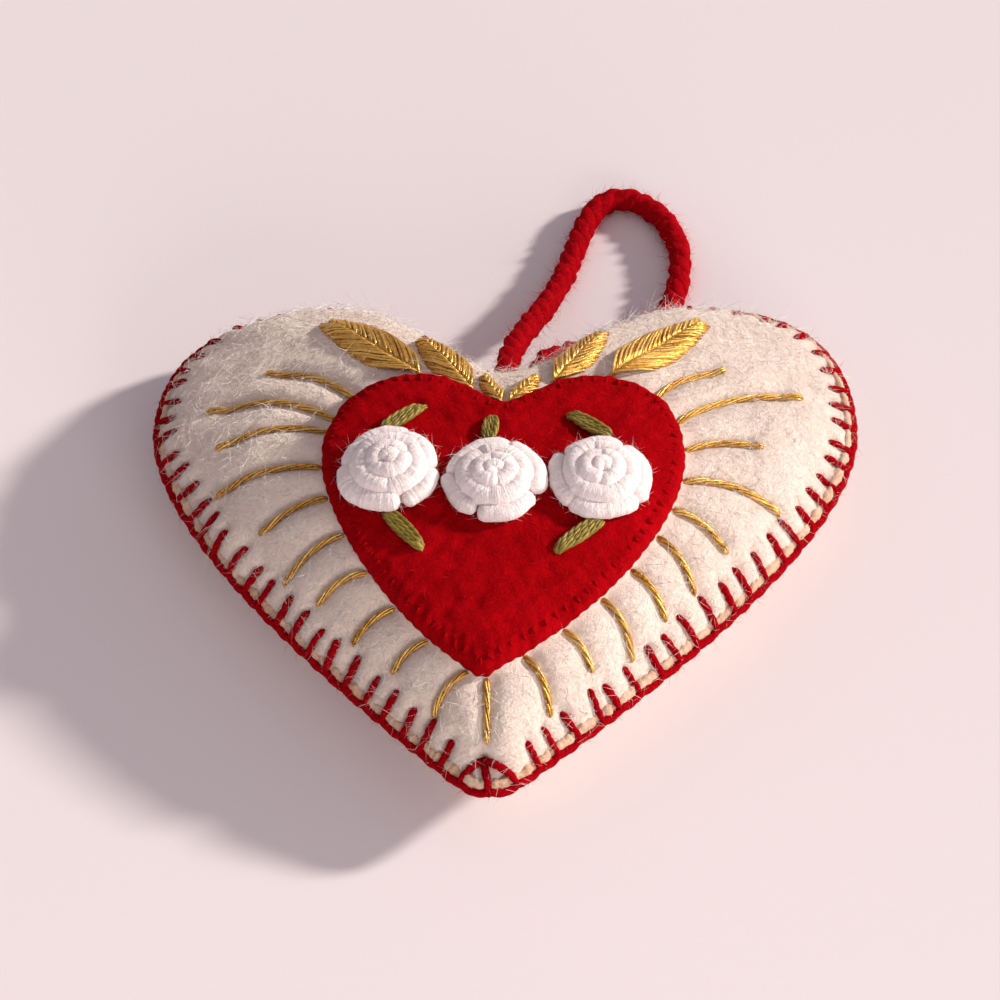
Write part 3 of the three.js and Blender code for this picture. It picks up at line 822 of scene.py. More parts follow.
class Graph:
    """One material's nodes."""

    def __init__(self, name):
        self.material = bpy.data.materials.new(name)
        self.material.use_nodes = True
        self.tree = self.material.node_tree
        self.tree.nodes.clear()

    def node(self, kind, settings=None, inputs=None, output=0):
        """Makes a node: its settings first, then the values or links of its sockets, by name or number."""
        made = self.tree.nodes.new(kind)
        for key, value in (settings or {}).items():
            setattr(made, key, value)
        for key, value in (inputs or {}).items():
            if isinstance(value, Wire):
                self.tree.links.new(value.socket, made.inputs[key])
            else:
                made.inputs[key].default_value = value
        return Wire(self, made.outputs[output])

    def mix(self, factor, a, b):
        """A colour between two colours."""
        return self.node("ShaderNodeMix", {"data_type": "RGBA"}, {0: factor, 6: a, 7: b}, 2)

    def spread(self, value, low=0.0, high=1.0, start=0.0, end=1.0):
        """A value between start and end, as the given one goes from low to high."""
        return self.node("ShaderNodeMapRange", None, {"Value": value, 1: low, 2: high, 3: start, 4: end})

    def noise(self, vector, scale, detail=3.0, roughness=0.6, swirl=0.0):
        return self.node("ShaderNodeTexNoise", None, {
            "Vector": vector, "Scale": scale, "Detail": detail, "Roughness": roughness, "Distortion": swirl})

    def place(self):
        """The piece's own coordinates."""
        return self.node("ShaderNodeTexCoord", None, None, 3)

    def lay(self, stretch):
        """The place along and round a thread, stretched by a factor each way."""
        return self.node("ShaderNodeVectorMath", {"operation": "MULTIPLY"}, {
            0: self.node("ShaderNodeAttribute", {"attribute_name": "lay"}, None, 1), 1: stretch})

    def tone(self):
        """A thread's own tone: a random lightness on wool, and how much of the painted glint colour a metal
        thread takes.
        """
        return self.node("ShaderNodeAttribute", {"attribute_name": "tone"}, None, 2)

    def bump(self, height, distance, strength, before=None):
        inputs = {"Height": height, "Distance": distance, "Strength": strength}
        if before is not None:
            inputs["Normal"] = before
        return self.node("ShaderNodeBump", None, inputs)

    def finish(self, **sockets):
        shader = self.node("ShaderNodeBsdfPrincipled", None, {k.replace("_", " "): v for k, v in sockets.items()})
        out = self.tree.nodes.new("ShaderNodeOutputMaterial")
        self.tree.links.new(shader.socket, out.inputs["Surface"])
        return self.material


def rgba(shade, factor=1.0):
    """A colour for a socket, brighter or darker by a factor."""
    return (*(min(1.0, factor * c) for c in shade), 1.0)


def felt_material(name, main, shade, light, sheen=0.35, shine=0.12):
    """Pressed felt: mottled in soft clouds, with matted fibres in a fine, streaky bump, and streaks of painted
    light and shade on the fibres.
    """
    g = Graph(name)
    place = g.place()
    cloud = g.noise(place, scale=150, detail=4)
    wisps = g.noise(place, scale=800, detail=6, roughness=0.75, swirl=1.6)
    grain = g.noise(place, scale=3200)
    tone = g.mix(g.spread(cloud, 0.3, 0.7), rgba(shade), rgba(light))
    # Fibre streaks: partly grain, partly painted shade and painted light on the matted fibres.
    streak = g.spread(wisps * 0.75 + grain * 0.25, 0.38, 0.6)
    darker, brighter = g.mix(0.5, tone, rgba(shade, 0.86)), g.mix(0.5, tone, rgba(main, 1.05))
    low = g.bump(wisps, 1.2 * MM, 0.6)
    return g.finish(
        Base_Color=g.mix(streak, darker, brighter), Roughness=1.0, Normal=g.bump(grain, 0.2 * MM, 0.6, low),
        Sheen_Weight=sheen, Sheen_Roughness=0.5, Sheen_Tint=rgba(light), Specular_IOR_Level=shine)


def wool_material(name, main, deep, sheen=0.04, shine=0.03):
    """Spun wool: streaks that follow the twist, with painted shade between the fibres."""
    g = Graph(name)
    streak = g.noise(g.lay(stretch=(0.6, 1.6, 1.6)), scale=2.4, detail=4)
    grain = g.noise(g.place(), scale=2600, detail=4)
    factor = g.spread(streak * 0.55 + grain * 0.45, 0.36, 0.62)
    # Painted shade between the fibres, mixed in where the streaks and grain are low.
    base = g.mix(factor, rgba(deep), rgba(main))
    base = g.mix(g.tone() * 0.3, base, rgba(main, 1.1))
    low = g.bump(streak, 0.3 * MM, 0.7)
    return g.finish(
        Base_Color=base, Roughness=0.95, Normal=g.bump(grain, 0.25 * MM, 0.8, low),
        Sheen_Weight=sheen, Sheen_Roughness=0.45, Sheen_Tint=rgba(main, 1.4), Specular_IOR_Level=shine)


def petal_material(name, main, deep):
    """Wrapped petals: the fibres run round the petal with each wrap, with painted shade, a little darker, between
    the wraps.
    """
    g = Graph(name)
    strands = g.noise(g.lay(stretch=(4.2, 0.55, 0.55)), scale=2.2)
    grain = g.noise(g.place(), scale=2200, detail=4)
    # Painted shade between the wraps, mixed in where the strands and grain are low.
    factor = g.spread(strands * 0.6 + grain * 0.4, 0.34, 0.6)
    low = g.bump(strands, 0.16 * MM, 0.4)
    return g.finish(
        Base_Color=g.mix(factor, rgba(deep), rgba(main)), Roughness=0.9,
        Normal=g.bump(grain, 0.26 * MM, 0.7, low), Sheen_Weight=0.4, Sheen_Roughness=0.5,
        Subsurface_Weight=0.3, Subsurface_Radius=(1.2 * MM, 0.8 * MM, 0.7 * MM), Specular_IOR_Level=0.15)


def metal_thread_material(name, main, deep, bright, metal):
    """Metallic thread: fine filaments that glint, with painted shade in the folds and a painted glint colour that
    each thread takes by its tone.
    """
    g = Graph(name)
    filament = g.noise(g.lay(stretch=(0.7, 1.8, 1.8)), scale=2.2)
    glint = g.noise(g.place(), scale=1500)
    factor = g.spread(filament * 0.5 + glint * 0.5, 0.36, 0.62)
    # Painted shade of the folds, mixed in where the filament and glint noise is low.
    base = g.mix(factor, rgba(deep), rgba(main))
    # Painted glint: a brighter colour mixed in by each thread's tone.
    base = g.mix(g.tone() * 0.6, base, rgba(bright))
    return g.finish(
        Base_Color=base, Roughness=g.spread(glint, start=0.16, end=0.44), Metallic=metal,
        Normal=g.bump(filament, 0.1 * MM, 0.6), Specular_IOR_Level=0.5)


def fibre_material(name, main):
    """Single fibres: soft, pale along their length and a little varied; their coats' colours carry painted light.
    """
    g = Graph(name)
    varied = g.mix(g.noise(g.place(), scale=900, detail=2), rgba(main, 0.85), rgba(main, 1.15))
    return g.finish(Base_Color=varied, Roughness=0.9, Specular_IOR_Level=0.05)


def floor_material(name, main):
    """A plain matt floor, very slightly uneven in tone."""
    g = Graph(name)
    tone = g.mix(g.noise(g.place(), scale=3, detail=2), rgba(main, 0.985), rgba(main, 1.015))
    return g.finish(Base_Color=tone, Roughness=0.85, Specular_IOR_Level=0.2)


def dress(obj, material, slot, *nodes):
    """Gives a piece its material, has it ride on the ornament, and stand for its nodes."""
    obj.data.materials.append(material)
    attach(obj, "root")
    if nodes:
        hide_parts(*nodes)
    return obj


def fuzz(name, source, count, coat, material, slot, keep=None):
    """A coat of loose fibres on a piece that is made already."""
    thickness = bpy.context.scene.heart_fuzz.thickness * coat.thick
    roots, normals = scattered(source, count, coat.seed, keep)
    spread = np.random.default_rng(coat.seed + 1).gamma(3.0, 1 / 3.0, count)
    lengths = coat.length * np.minimum(spread, LONGEST_FIBRE)
    roots = roots - normals * FIBRE_ROOT
    points, faces = fibres(roots, normals, lengths, thickness, coat.stand, coat.curl, coat.seed + 2)
    points[:, 2] = np.maximum(points[:, 2], 0.02 * MM)
    return dress(put(name, points, faces), material, slot)


# Operators

class HEART_OT_stage(bpy.types.Operator):
    """Camera, lights and the pale floor"""

    bl_idname = "heart.stage"
    bl_label = "Stage"

    def execute(self, context):
        self.camera(context)
        self.sun()
        self.fill()
        world = bpy.data.worlds.new("world")
        world.use_nodes = True
        sky = world.node_tree.nodes["Background"].inputs
        sky["Color"].default_value = SKY_COLOUR
        sky["Strength"].default_value = SKY_STRENGTH
        context.scene.world = world
        corners = FLOOR_REACH * np.array([[-1, -1, 0], [1, -1, 0], [1, 1, 0], [-1, 1, 0]])
        floor = put("floor", corners, [np.array([[0, 1, 2, 3]])])
        floor.data.materials.append(floor_material("floor_paint", context.scene.heart_colours.floor))
        context.scene.view_settings.view_transform = "Standard"
        return {"FINISHED"}

    @staticmethod
    def camera(context):
        """The photograph's camera: above the tip's side, looking down at the red heart."""
        camera = linked("camera", bpy.data.cameras.new("camera"))
        level = math.cos(CAMERA_ELEVATION)
        out = Vector((math.sin(CAMERA_AZIMUTH) * level, -math.cos(CAMERA_AZIMUTH) * level,
                      math.sin(CAMERA_ELEVATION)))
        camera.location = Vector(CAMERA_TARGET) + CAMERA_DISTANCE * out
        look = (-out).to_track_quat("-Z", "Y").to_matrix() @ Matrix.Rotation(CAMERA_ROLL, 3, "Z")
        camera.rotation_euler = look.to_euler()
        camera.data.lens = CAMERA_LENS
        camera.data.clip_start = CAMERA_NEAR
        context.scene.camera = camera

    @staticmethod
    def sun():
        """Low sunlight from the right, turned a little towards the back."""
        lamp = bpy.data.lights.new("sun", "SUN")
        lamp.angle = SUN_WIDTH
        lamp.energy = SUN_POWER
        lamp.color = SUN_COLOUR
        level = math.cos(SUN_ELEVATION)
        obj = linked("sun", lamp)
        obj.location = (math.cos(SUN_BEHIND) * level, math.sin(SUN_BEHIND) * level, math.sin(SUN_ELEVATION))
        obj.rotation_euler = obj.location.to_track_quat("Z", "Y").to_euler()

    @staticmethod
    def fill():
        """Soft light from a bright wall behind the camera: a square that faces the heart."""
        lamp = bpy.data.lights.new("fill", "AREA")
        lamp.size = FILL_SIZE
        lamp.energy = FILL_POWER
        lamp.color = FILL_COLOUR
        obj = linked("fill", lamp)
        obj.location = FILL_PLACE
        obj.rotation_euler = obj.location.to_track_quat("Z", "Y").to_euler()


class HEART_OT_cord(bpy.types.Operator):
    """The hanging cord, a loop that lies behind the heart, and its fuzz"""

    bl_idname = "heart.cord"
    bl_label = "Hanging Cord"

    PER_PIECE = 24
    STEP = 0.3 * MM
    OFF_TABLE = 0.05 * MM
    # The plies' own outline is a little over the cord's diameter, because they leave hollows between them
    THICKER = 1.06
    PLIES, PITCH, SIDES, END, FULL = 3, 8.6 * MM, 14, 0.5, 0.78
    SWELL, SWELL_SEED = 0.24 * MM, 5
    # Painted shade between the cord's fibres.
    DEEP = (0.2, 0.001, 0.004)

    def execute(self, context):
        sizes, colours = context.scene.heart_sizes, context.scene.heart_colours
        route = np.array(CORD_ROUTE) * MM + [0, TIP, SEAM]
        path = resample(spline(route, self.PER_PIECE), self.STEP)
        path[:, 2] = np.maximum(path[:, 2], 0.5 * sizes.cord_thickness + self.OFF_TABLE)
        up = np.tile([0.0, 0, 1], (len(path), 1))
        bundle = Bundle()
        thickness = self.THICKER * sizes.cord_thickness
        for part in plied(path, up, thickness, self.PLIES, self.PITCH, self.SIDES, tip=self.END, full=self.FULL):
            bundle.add(part)
        cord = bundle.make("wool_cord")
        bumps(cord, self.SWELL, self.SWELL_SEED)
        dress(cord, wool_material("cord_wool", colours.red_wool, self.DEEP), "red_wool", "hanging_cord")
        fuzz("cord_fuzz", cord, context.scene.heart_fuzz.cord_count, CORD_COAT,
             fibre_material("cord_fibre", CORD_COAT.colour), "red_wool")
        return {"FINISHED"}


class HEART_OT_felt(bpy.types.Operator):
    """The stuffed front and back panels, their cut edges and their fuzz"""

    bl_idname = "heart.felt"
    bl_label = "Stuffed Felt"

    FRONT_GRID = (560, 72)
    BACK_GRID = (400, 44)
    FRONT_FILL, BACK_FILL = 0.85, 0.8
    CREAM_SHADE, CREAM_LIGHT, CREAM_SHEEN = (0.92, 0.72, 0.605), (1.0, 0.85, 0.74), 0.9
    # The cut edge's tan colours are painted shade and a painted red reflection on the cream felt.
    TAN_SHADE, TAN_LIGHT = (0.68, 0.36, 0.2), (0.92, 0.72, 0.56)
    CROWDING = 1.7
    INNER_FACE = 0.96
    EDGE_GRID = (1000, 10)
    EDGE_ROUGH_POINTS, EDGE_SEED = 700, 4
    # The cut edge's section, in millimetres: how far in its middle is, its half width and half height, and
    # how much each grows between the stitches and varies at random
    EDGE_MIDDLE = -0.35
    EDGE_WIDE = (0.65, 0.18, 0.25)
    EDGE_HIGH = (1.6, 0.2, 0.35)
    EDGE_LOOSE = (0.3 * MM, 1.5 * MM)

    def execute(self, context):
        sizes, colours = context.scene.heart_sizes, context.scene.heart_colours
        cream = felt_material("cream_felt_wool", colours.cream, self.CREAM_SHADE, self.CREAM_LIGHT,
                              self.CREAM_SHEEN)
        front = self.panel("front_felt", Felt(sizes, FRONT_BULGE, 1), *self.FRONT_GRID)
        dress(front, cream, "cream_felt", "front_panel")
        back = self.panel("back_felt", Felt(sizes, BACK_BULGE, -1), *self.BACK_GRID)
        dress(back, cream, "cream_felt", "back_panel")
        edge = self.cut_edge(sizes)
        # The cut edge in a tan of painted shade and painted red reflection.
        dress(edge, felt_material("cut_felt_edge", colours.tan, self.TAN_SHADE, self.TAN_LIGHT), "cream_felt")
        hair = context.scene.heart_fuzz
        cream_fibre = fibre_material("cream_fibre", CREAM_FIBRE)
        edge_fibre = fibre_material("edge_fibre", EDGE_COAT.colour)
        fuzz("edge_fuzz", edge, hair.edge_count, EDGE_COAT, edge_fibre, "cream_felt")
        fuzz("front_fuzz", front, hair.felt_count, FRONT_COAT, cream_fibre, "cream_felt", self.on_front)
        fuzz("back_fuzz", back, hair.back_count, BACK_COAT, cream_fibre, "cream_felt", self.on_back)
        return {"FINISHED"}

    @staticmethod
    def on_front(places):
        """Whether places are on the front's open felt, off the red heart."""
        return (places[:, 2] > SEAM + CLEAR_OF_SEAM) & (RED.share(places[:, :2]) > RED_FADE[1])

    @staticmethod
    def on_back(places):
        """Whether places are on the back's open felt, off the table."""
        return (places[:, 2] < SEAM - CLEAR_OF_SEAM) & (places[:, 2] > CLEAR_OF_FLOOR)

    @classmethod
    def panel(cls, name, felt, around, rings):
        """One stuffed panel: rings of points that shrink from the seam to the middle, closed by a flat inner
        face at the seam. Rings crowd towards the seam, where the felt curves most."""
        rim = BODY.at(np.linspace(0, BODY.total, around, endpoint=False))
        t = 1 - (1 - np.arange(1, rings + 1) / rings) ** cls.CROWDING
        t[-1] = 1
        points = felt.place(CENTRE + (rim - CENTRE)[None] * t[:, None, None])
        pole = felt.place(CENTRE[None])[0]
        flat = SEAM + felt.side * SEAM_GAP / 2
        points[-1, :, :2] = rim
        points[-1, :, 2] = flat
        middle = np.array([*CENTRE, flat])
        points[..., 2] = np.maximum(points[..., 2], 0)
        pole[2] = max(pole[2], 0)
        inner = middle + (points[-1] - middle)[None] * cls.INNER_FACE
        points, faces = dome((pole, points), (middle, inner), felt.side < 0)
        return put(name, drooped(points), faces)

    @classmethod
    def cut_edge(cls, sizes):
        """The two felts' cut edges: a flat oval section carried round the seam. It stands out between the
        stitches, where nothing pulls it in."""
        distance, _, _, _ = stitch_places(sizes)
        count, sides = cls.EDGE_GRID
        s = np.linspace(0, BODY.total, count, endpoint=False)
        rim, outward = BODY.at(s), BODY.outward(s)
        half = BODY.total / 2
        gap = np.abs(np.mod(s[:, None] - distance[None] + half, BODY.total) - half).min(1)
        loose = smooth(*cls.EDGE_LOOSE, gap)
        rng = np.random.default_rng(cls.EDGE_SEED)
        marks = np.linspace(0, BODY.total, cls.EDGE_ROUGH_POINTS)
        rough = [np.interp(s, marks, np.append(row, row[0]))
                 for row in rng.uniform(-1, 1, (2, cls.EDGE_ROUGH_POINTS - 1))]
        angle = np.linspace(0, 2 * math.pi, sides, endpoint=False)
        wide, wide_loose, wide_rough = cls.EDGE_WIDE
        high, high_loose, high_rough = cls.EDGE_HIGH
        half_width = (wide + wide_loose * loose + wide_rough * rough[0])[:, None]
        half_height = (high + high_loose * loose + high_rough * rough[1])[:, None]
        out = (cls.EDGE_MIDDLE + half_width * np.cos(angle)) * MM
        up = half_height * np.sin(angle) * MM
        points = np.concatenate([rim[:, None] + out[..., None] * outward[:, None], (SEAM + up)[..., None]], -1)
        quads = grid_faces(count + 1, sides, 0, True) % (count * sides)
        return put("felt_cut_edge", drooped(points.reshape(-1, 3)), [quads])


class HEART_OT_red_heart(bpy.types.Operator):
    """The red felt heart, the small stitches round it and its fuzz"""

    bl_idname = "heart.red_heart"
    bl_label = "Red Heart"

    GRID = (480, 42)
    CROWDING = 1.6
    PULL = 0.006
    PULL_NEAR_EDGE = 8
    REACH_IN = 26 * MM
    EDGE_ROUNDING = 1.3 * MM
    EDGE_THICKNESS = 0.25 * MM
    DENT = (0.18 * MM, 1.6 * MM, 1.2 * MM)
    SOFT, SOFT_SEED, SOFT_LENGTH = 0.14 * MM, 14, 7 * MM
    UNDER = -0.3 * MM
    SHADE, LIGHT, SHEEN, SHINE = (0.26, 0.0004, 0.002), (0.52, 0.002, 0.007), 0.02, 0.02
    FUZZ_ABOVE = 5 * MM
    # The small stitches: places inwards from the edge and lifts along one, in millimetres
    SEWING_SEED = 15
    SEWING_JITTER = 0.15
    SEWING_LEAN = (-0.3, 0.5)
    SEWING_POINTS, SEWING_SIDES = 9, 7
    SEWING_START, SEWING_RUN = -2.4, 1.3
    SEWING_AT, SEWING_LIFT = (0, 0.25, 0.7, 1), (-0.5, -0.02, -0.12, -0.6)
    SEWING_RADIUS = 0.26 * MM
    SEWING_ENDS = (0.04, 0.96)
    # Painted shade between the small stitches' fibres.
    SEWING_DEEP = (0.2, 0.001, 0.003)

    def execute(self, context):
        sizes, colours = context.scene.heart_sizes, context.scene.heart_colours
        felt = Felt(sizes, FRONT_BULGE, 1)
        stitches = round(RED.total / sizes.red_pitch)
        points, faces = self.shell(felt, sizes, stitches)
        red = put("red_felt_heart", drooped(points), faces)
        wool = felt_material("red_felt_wool", colours.red_felt, self.SHADE, self.LIGHT, self.SHEEN, self.SHINE)
        dress(red, wool, "red_felt", "red_heart")
        self.small_stitches(felt, sizes, colours, stitches)
        fuzz("red_fuzz", red, context.scene.heart_fuzz.red_count, RED_COAT,
             fibre_material("red_fibre", RED_COAT.colour), "red_felt",
             lambda places: places[:, 2] > SEAM + self.FUZZ_ABOVE)
        return {"FINISHED"}

    @classmethod
    def shell(cls, felt, sizes, stitches):
        """The red felt: rings drawn in from its edge, which is rounded over, with the edge and a shallow dent
        inside it pulled in at each stitch."""
        around, rings = cls.GRID
        distance = np.linspace(0, RED.total, around, endpoint=False)
        rim = RED.at(distance)
        pull = 0.5 + 0.5 * np.cos(2 * math.pi * distance / RED.total * stitches)
        t = 1 - (1 - np.arange(1, rings + 1) / rings) ** cls.CROWDING
        t[-1] = 1
        shrink = 1 - cls.PULL * pull[None] * t[:, None] ** cls.PULL_NEAR_EDGE
        xy = RED_CENTRE + (rim - RED_CENTRE)[None] * (t[:, None] * shrink)[..., None]
        inset = (1 - t) * cls.REACH_IN
        edge = np.clip(inset / cls.EDGE_ROUNDING, 0, 1)
        rounded = np.sqrt(np.clip(1 - (1 - edge) ** 2, 0, 1))
        thick = (cls.EDGE_THICKNESS + (sizes.red_felt - cls.EDGE_THICKNESS) * rounded)[:, None]
        depth, inwards, width = cls.DENT
        dent = depth * pull[None] * bell(inset[:, None] - inwards, width)
        soft = cls.SOFT * lumps(xy, cls.SOFT_SEED, cls.SOFT_LENGTH)
        top = felt.place(xy, thick - dent * rounded[:, None] + soft)
        pole = felt.place(RED_CENTRE[None], np.array([sizes.red_felt]))[0]
        under = felt.place(xy[-2:-1], np.array([[cls.UNDER]]))
        return dome((pole, top), (felt.place(RED_CENTRE[None], np.array([cls.UNDER]))[0], under))

    @classmethod
    def small_stitches(cls, felt, sizes, colours, count):
        """Small stitches inside the red edge: each a short thread that dives into the felt at both ends."""
        bundle = Bundle()
        rng = np.random.default_rng(cls.SEWING_SEED)
        jitter = rng.uniform(-cls.SEWING_JITTER, cls.SEWING_JITTER, count)
        distance = (np.arange(count) + jitter) * RED.total / count
        u = np.linspace(0, 1, cls.SEWING_POINTS)
        inwards = (cls.SEWING_START + cls.SEWING_RUN * u) * MM
        lift = sizes.red_felt + np.interp(u, cls.SEWING_AT, cls.SEWING_LIFT) * MM
        radius = cls.SEWING_RADIUS * np.sqrt(np.sin(math.pi * np.clip(u, *cls.SEWING_ENDS)))
        for e, o in zip(RED.at(distance), RED.outward(distance)):
            along = left_of(o) * rng.uniform(*cls.SEWING_LEAN) * MM
            plan = e[None] + o[None] * inwards[:, None] + along[None] * u[:, None]
            stitch = thread(felt.place(plan, lift), felt.normal(plan), radius, cls.SEWING_SIDES)
            bundle.add(stitch, rng.uniform(0, 1))
        wool = wool_material("red_edge_wool", colours.red_felt, cls.SEWING_DEEP)
        dress(bundle.make("red_edge_stitches"), wool, "red_wool")


class HEART_OT_stitching(bpy.types.Operator):
    """The red blanket stitch round the seam, and its fuzz"""

    bl_idname = "heart.stitching"
    bl_label = "Blanket Stitch"

    SEED = 41
    POINTS, SIDES, PLIES = 9, 6, 2
    TO_EDGE = 0.94
    LIFT_AT = (0, 0.14, 0.5, 1)
    LIFT = (-0.7 * MM, 0.35 * MM, 0.5 * MM, 0.5 * MM)
    END_OUT = 0.3 * MM
    UNEVEN = (0.9, 1.15)
    # Painted shade between the stitch wool's fibres.
    DEEP = (0.19, 0.001, 0.004)

    def execute(self, context):
        sizes, colours = context.scene.heart_sizes, context.scene.heart_colours
        distance, on_edge, outward, inner = stitch_places(sizes)
        rng = np.random.default_rng(self.SEED)
        bundle = Bundle()
        u = np.linspace(0, 1, self.POINTS)
        lift = np.interp(u, self.LIFT_AT, self.LIFT)
        for felt in (Felt(sizes, FRONT_BULGE, 1), Felt(sizes, BACK_BULGE, -1)):
            for e, o, n in zip(on_edge, outward, inner):
                plan = n + (e - n)[None] * (self.TO_EDGE * u)[:, None]
                end = np.array([*(e + o * (STITCH_PROUD + self.END_OUT)), SEAM + felt.side * self.END_OUT])
                path = spline(np.concatenate([felt.place(plan, lift), end[None]]), 2)
                up = np.concatenate([np.repeat(felt.normal(plan), 2, axis=0), [[*o, 0.0]]])
                size = sizes.stitch_thread * rng.uniform(*self.UNEVEN)
                turn = rng.uniform(0, 6)
                for part in plied(path, up, size, self.PLIES, STITCH_PITCH, self.SIDES, turn, full=STITCH_FULL):
                    bundle.add(part, rng.uniform(0, 1))
        for part in self.run(sizes, distance):
            bundle.add(part)
        stitches = bundle.make("red_blanket_stitch")
        dress(stitches, wool_material("stitch_wool", colours.red_wool, self.DEEP), "red_wool", "blanket_stitch")
        fuzz("stitch_fuzz", stitches, context.scene.heart_fuzz.wool_count, STITCH_COAT,
             fibre_material("stitch_fibre", STITCH_COAT.colour), "red_wool")
        return {"FINISHED"}

    @staticmethod
    def run(sizes, distance):
        """The thread along the edge: just outside the felt, bowed a little between stitches."""
        s = np.linspace(0, BODY.total, RUN_POINTS)
        phase = np.interp(s, np.concatenate([distance, [BODY.total]]), np.arange(len(distance) + 1))
        bow = RUN_BOW * np.abs(np.sin(math.pi * phase))
        xy = BODY.at(s) + BODY.outward(s) * (STITCH_PROUD + bow)[:, None]
        z = SEAM + RUN_WAVE * np.sin(2 * math.pi * phase + 1)
        path = np.concatenate([xy, z[:, None]], -1)
        up = np.tile([0.0, 0, 1], (RUN_POINTS, 1))
        pitch = BODY.total / round(BODY.total / RUN_PITCH)
        return plied(path, up, RUN_THICKER * sizes.stitch_thread, 2, pitch, RUN_SIDES, tip=0.99, full=RUN_FULL)


class HEART_OT_roses(bpy.types.Operator):
    """The three roses of wrapped petals"""

    bl_idname = "heart.roses"
    bl_label = "Roses"

    # Each outer petal's radius, first bearing, reach in degrees, thickness and height, rose by rose
    OUTER = (
        ((6.7, -70, 66, 2.5, 1.2), (6.4, 172, 115, 3.2, 1.2), (6.2, 66, 112, 3.3, 1.4),
         (5.5, -8, 84, 3.2, 1.9)),
        ((6.7, 172, 74, 2.5, 1.2), (6.4, 249, 84, 3.0, 1.2), (6.2, -22, 96, 3.3, 1.4),
         (6.1, 70, 108, 3.2, 1.4)),
        ((6.6, 146, 88, 2.6, 1.2), (6.2, 226, 100, 3.0, 1.2), (6.0, -38, 100, 3.2, 1.4),
         (5.6, 58, 92, 3.1, 1.6)),
    )
    # The inner rings: radius, thickness, height, petals in a ring, and the reach of one
    INNER = (
        (4.2, 3.4, 2.3, 3, 146),
        (2.2, 3.0, 3.2, 2, 205),
        (0.7, 2.5, 3.7, 1, 330),
    )
    SEED = 71
    RING_TURN = 47
    RING_UNEVEN = 8
    # Painted shade between the rose's wraps.
    DEEP = (0.8, 0.68, 0.66)
    SWELL, SWELL_SEED = 0.06 * MM, 17
    SIDES = 12
    STEPS_A_WRAP = 5
    FEWEST_WRAPS = 6
    RIB = 0.028
    WRAP_UNEVEN = (0.965, 1.03)
    CUSHION_GRID = (13, 48)
    CUSHION_RADIUS = 6.2 * MM
    CUSHION_HIGH = 3.9
    CUSHION_SUNK = 0.2
    CUSHION_UNDER = 0.3 * MM

    def execute(self, context):
        sizes, colours = context.scene.heart_sizes, context.scene.heart_colours
        felt = Felt(sizes, FRONT_BULGE, 1)
        white = petal_material("rose_thread", colours.white, self.DEEP)
        strays = fibre_material("rose_fibre", ROSE_COAT.colour)
        rng = np.random.default_rng(self.SEED)
        for name, centre, outer in zip(ROSE_NAMES, ROSE_CENTRES, self.OUTER):
            bundle = Bundle()
            turn = rng.uniform(0, 360)
            for radius, start, span, thick, high in outer:
                bundle.add(self.petal(felt, sizes, centre, radius, thick, high, start, span, rng))
            for radius, thick, high, petals, span in self.INNER:
                turn += self.RING_TURN
                for k in range(petals):
                    start = turn + k * 360 / petals + rng.uniform(-self.RING_UNEVEN, self.RING_UNEVEN)
                    bundle.add(self.petal(felt, sizes, centre, radius, thick, high, start, span, rng))
            bundle.add(self.cushion(felt, sizes, centre))
            rose = bundle.make(name + "_petals")
            bumps(rose, self.SWELL, self.SWELL_SEED)
            dress(rose, white, "white_thread", name)
            fuzz(name + "_fuzz", rose, context.scene.heart_fuzz.rose_count, ROSE_COAT, strays, "white_thread")
        return {"FINISHED"}

    @classmethod
    def petal(cls, felt, sizes, centre, radius, thick, high, start, span, rng):
        """A wrapped petal: an arc round the rose's middle, a little nearer to it and higher at its far end,
        so that each overlaps the next. Each wrap is a rib, the ends round off as half circles, and the
        section is an ellipse that lies flat."""
        reach = radius * span * TURN + 0.8 * thick
        wraps = max(cls.FEWEST_WRAPS, round(reach / (sizes.rose_wrap / MM)))
        steps = wraps * cls.STEPS_A_WRAP
        u = np.linspace(0, 1, steps)
        angle = (start + span * u) * TURN
        away = radius * (1.03 - 0.07 * u) + 0.12 * np.sin(2 * math.pi * u * 1.5 + rng.uniform(0, 6))
        plan = centre + (np.stack([np.cos(angle), np.sin(angle)], -1) * away[:, None]) * MM
        dip = 1 - 0.18 * (2 * u - 1) ** 4
        path = felt.place(plan, sizes.red_felt + (high * dip + 0.3 * (u - 0.5)) * MM)
        outward = np.concatenate([plan - centre, np.zeros((steps, 1))], -1)
        outward /= np.linalg.norm(outward, axis=1, keepdims=True)
        around = np.linspace(0, 2 * math.pi, cls.SIDES, endpoint=False)
        swing = wraps * u[:, None] + 0.35 * np.cos(around + rng.uniform(0, 6))
        wrap = np.arange(steps) / cls.STEPS_A_WRAP
        uneven = np.interp(wrap, np.arange(wraps + 1), rng.uniform(*cls.WRAP_UNEVEN, wraps + 1))
        rib = uneven[:, None] * (1 - cls.RIB + cls.RIB * np.sqrt(np.abs(np.sin(math.pi * swing))))
        flat = 1 / np.hypot(np.cos(around) / 1.1, np.sin(around) / 0.9)
        inset = np.clip(np.minimum(u, 1 - u) * reach / (0.5 * thick), 0.003, 1)
        ends = np.sqrt(1 - (1 - inset) ** 2)
        size = 0.5 * thick * MM * rib * ends[:, None] * flat
        return thread(path, felt.normal(plan) + 0.2 * outward, size, cls.SIDES)

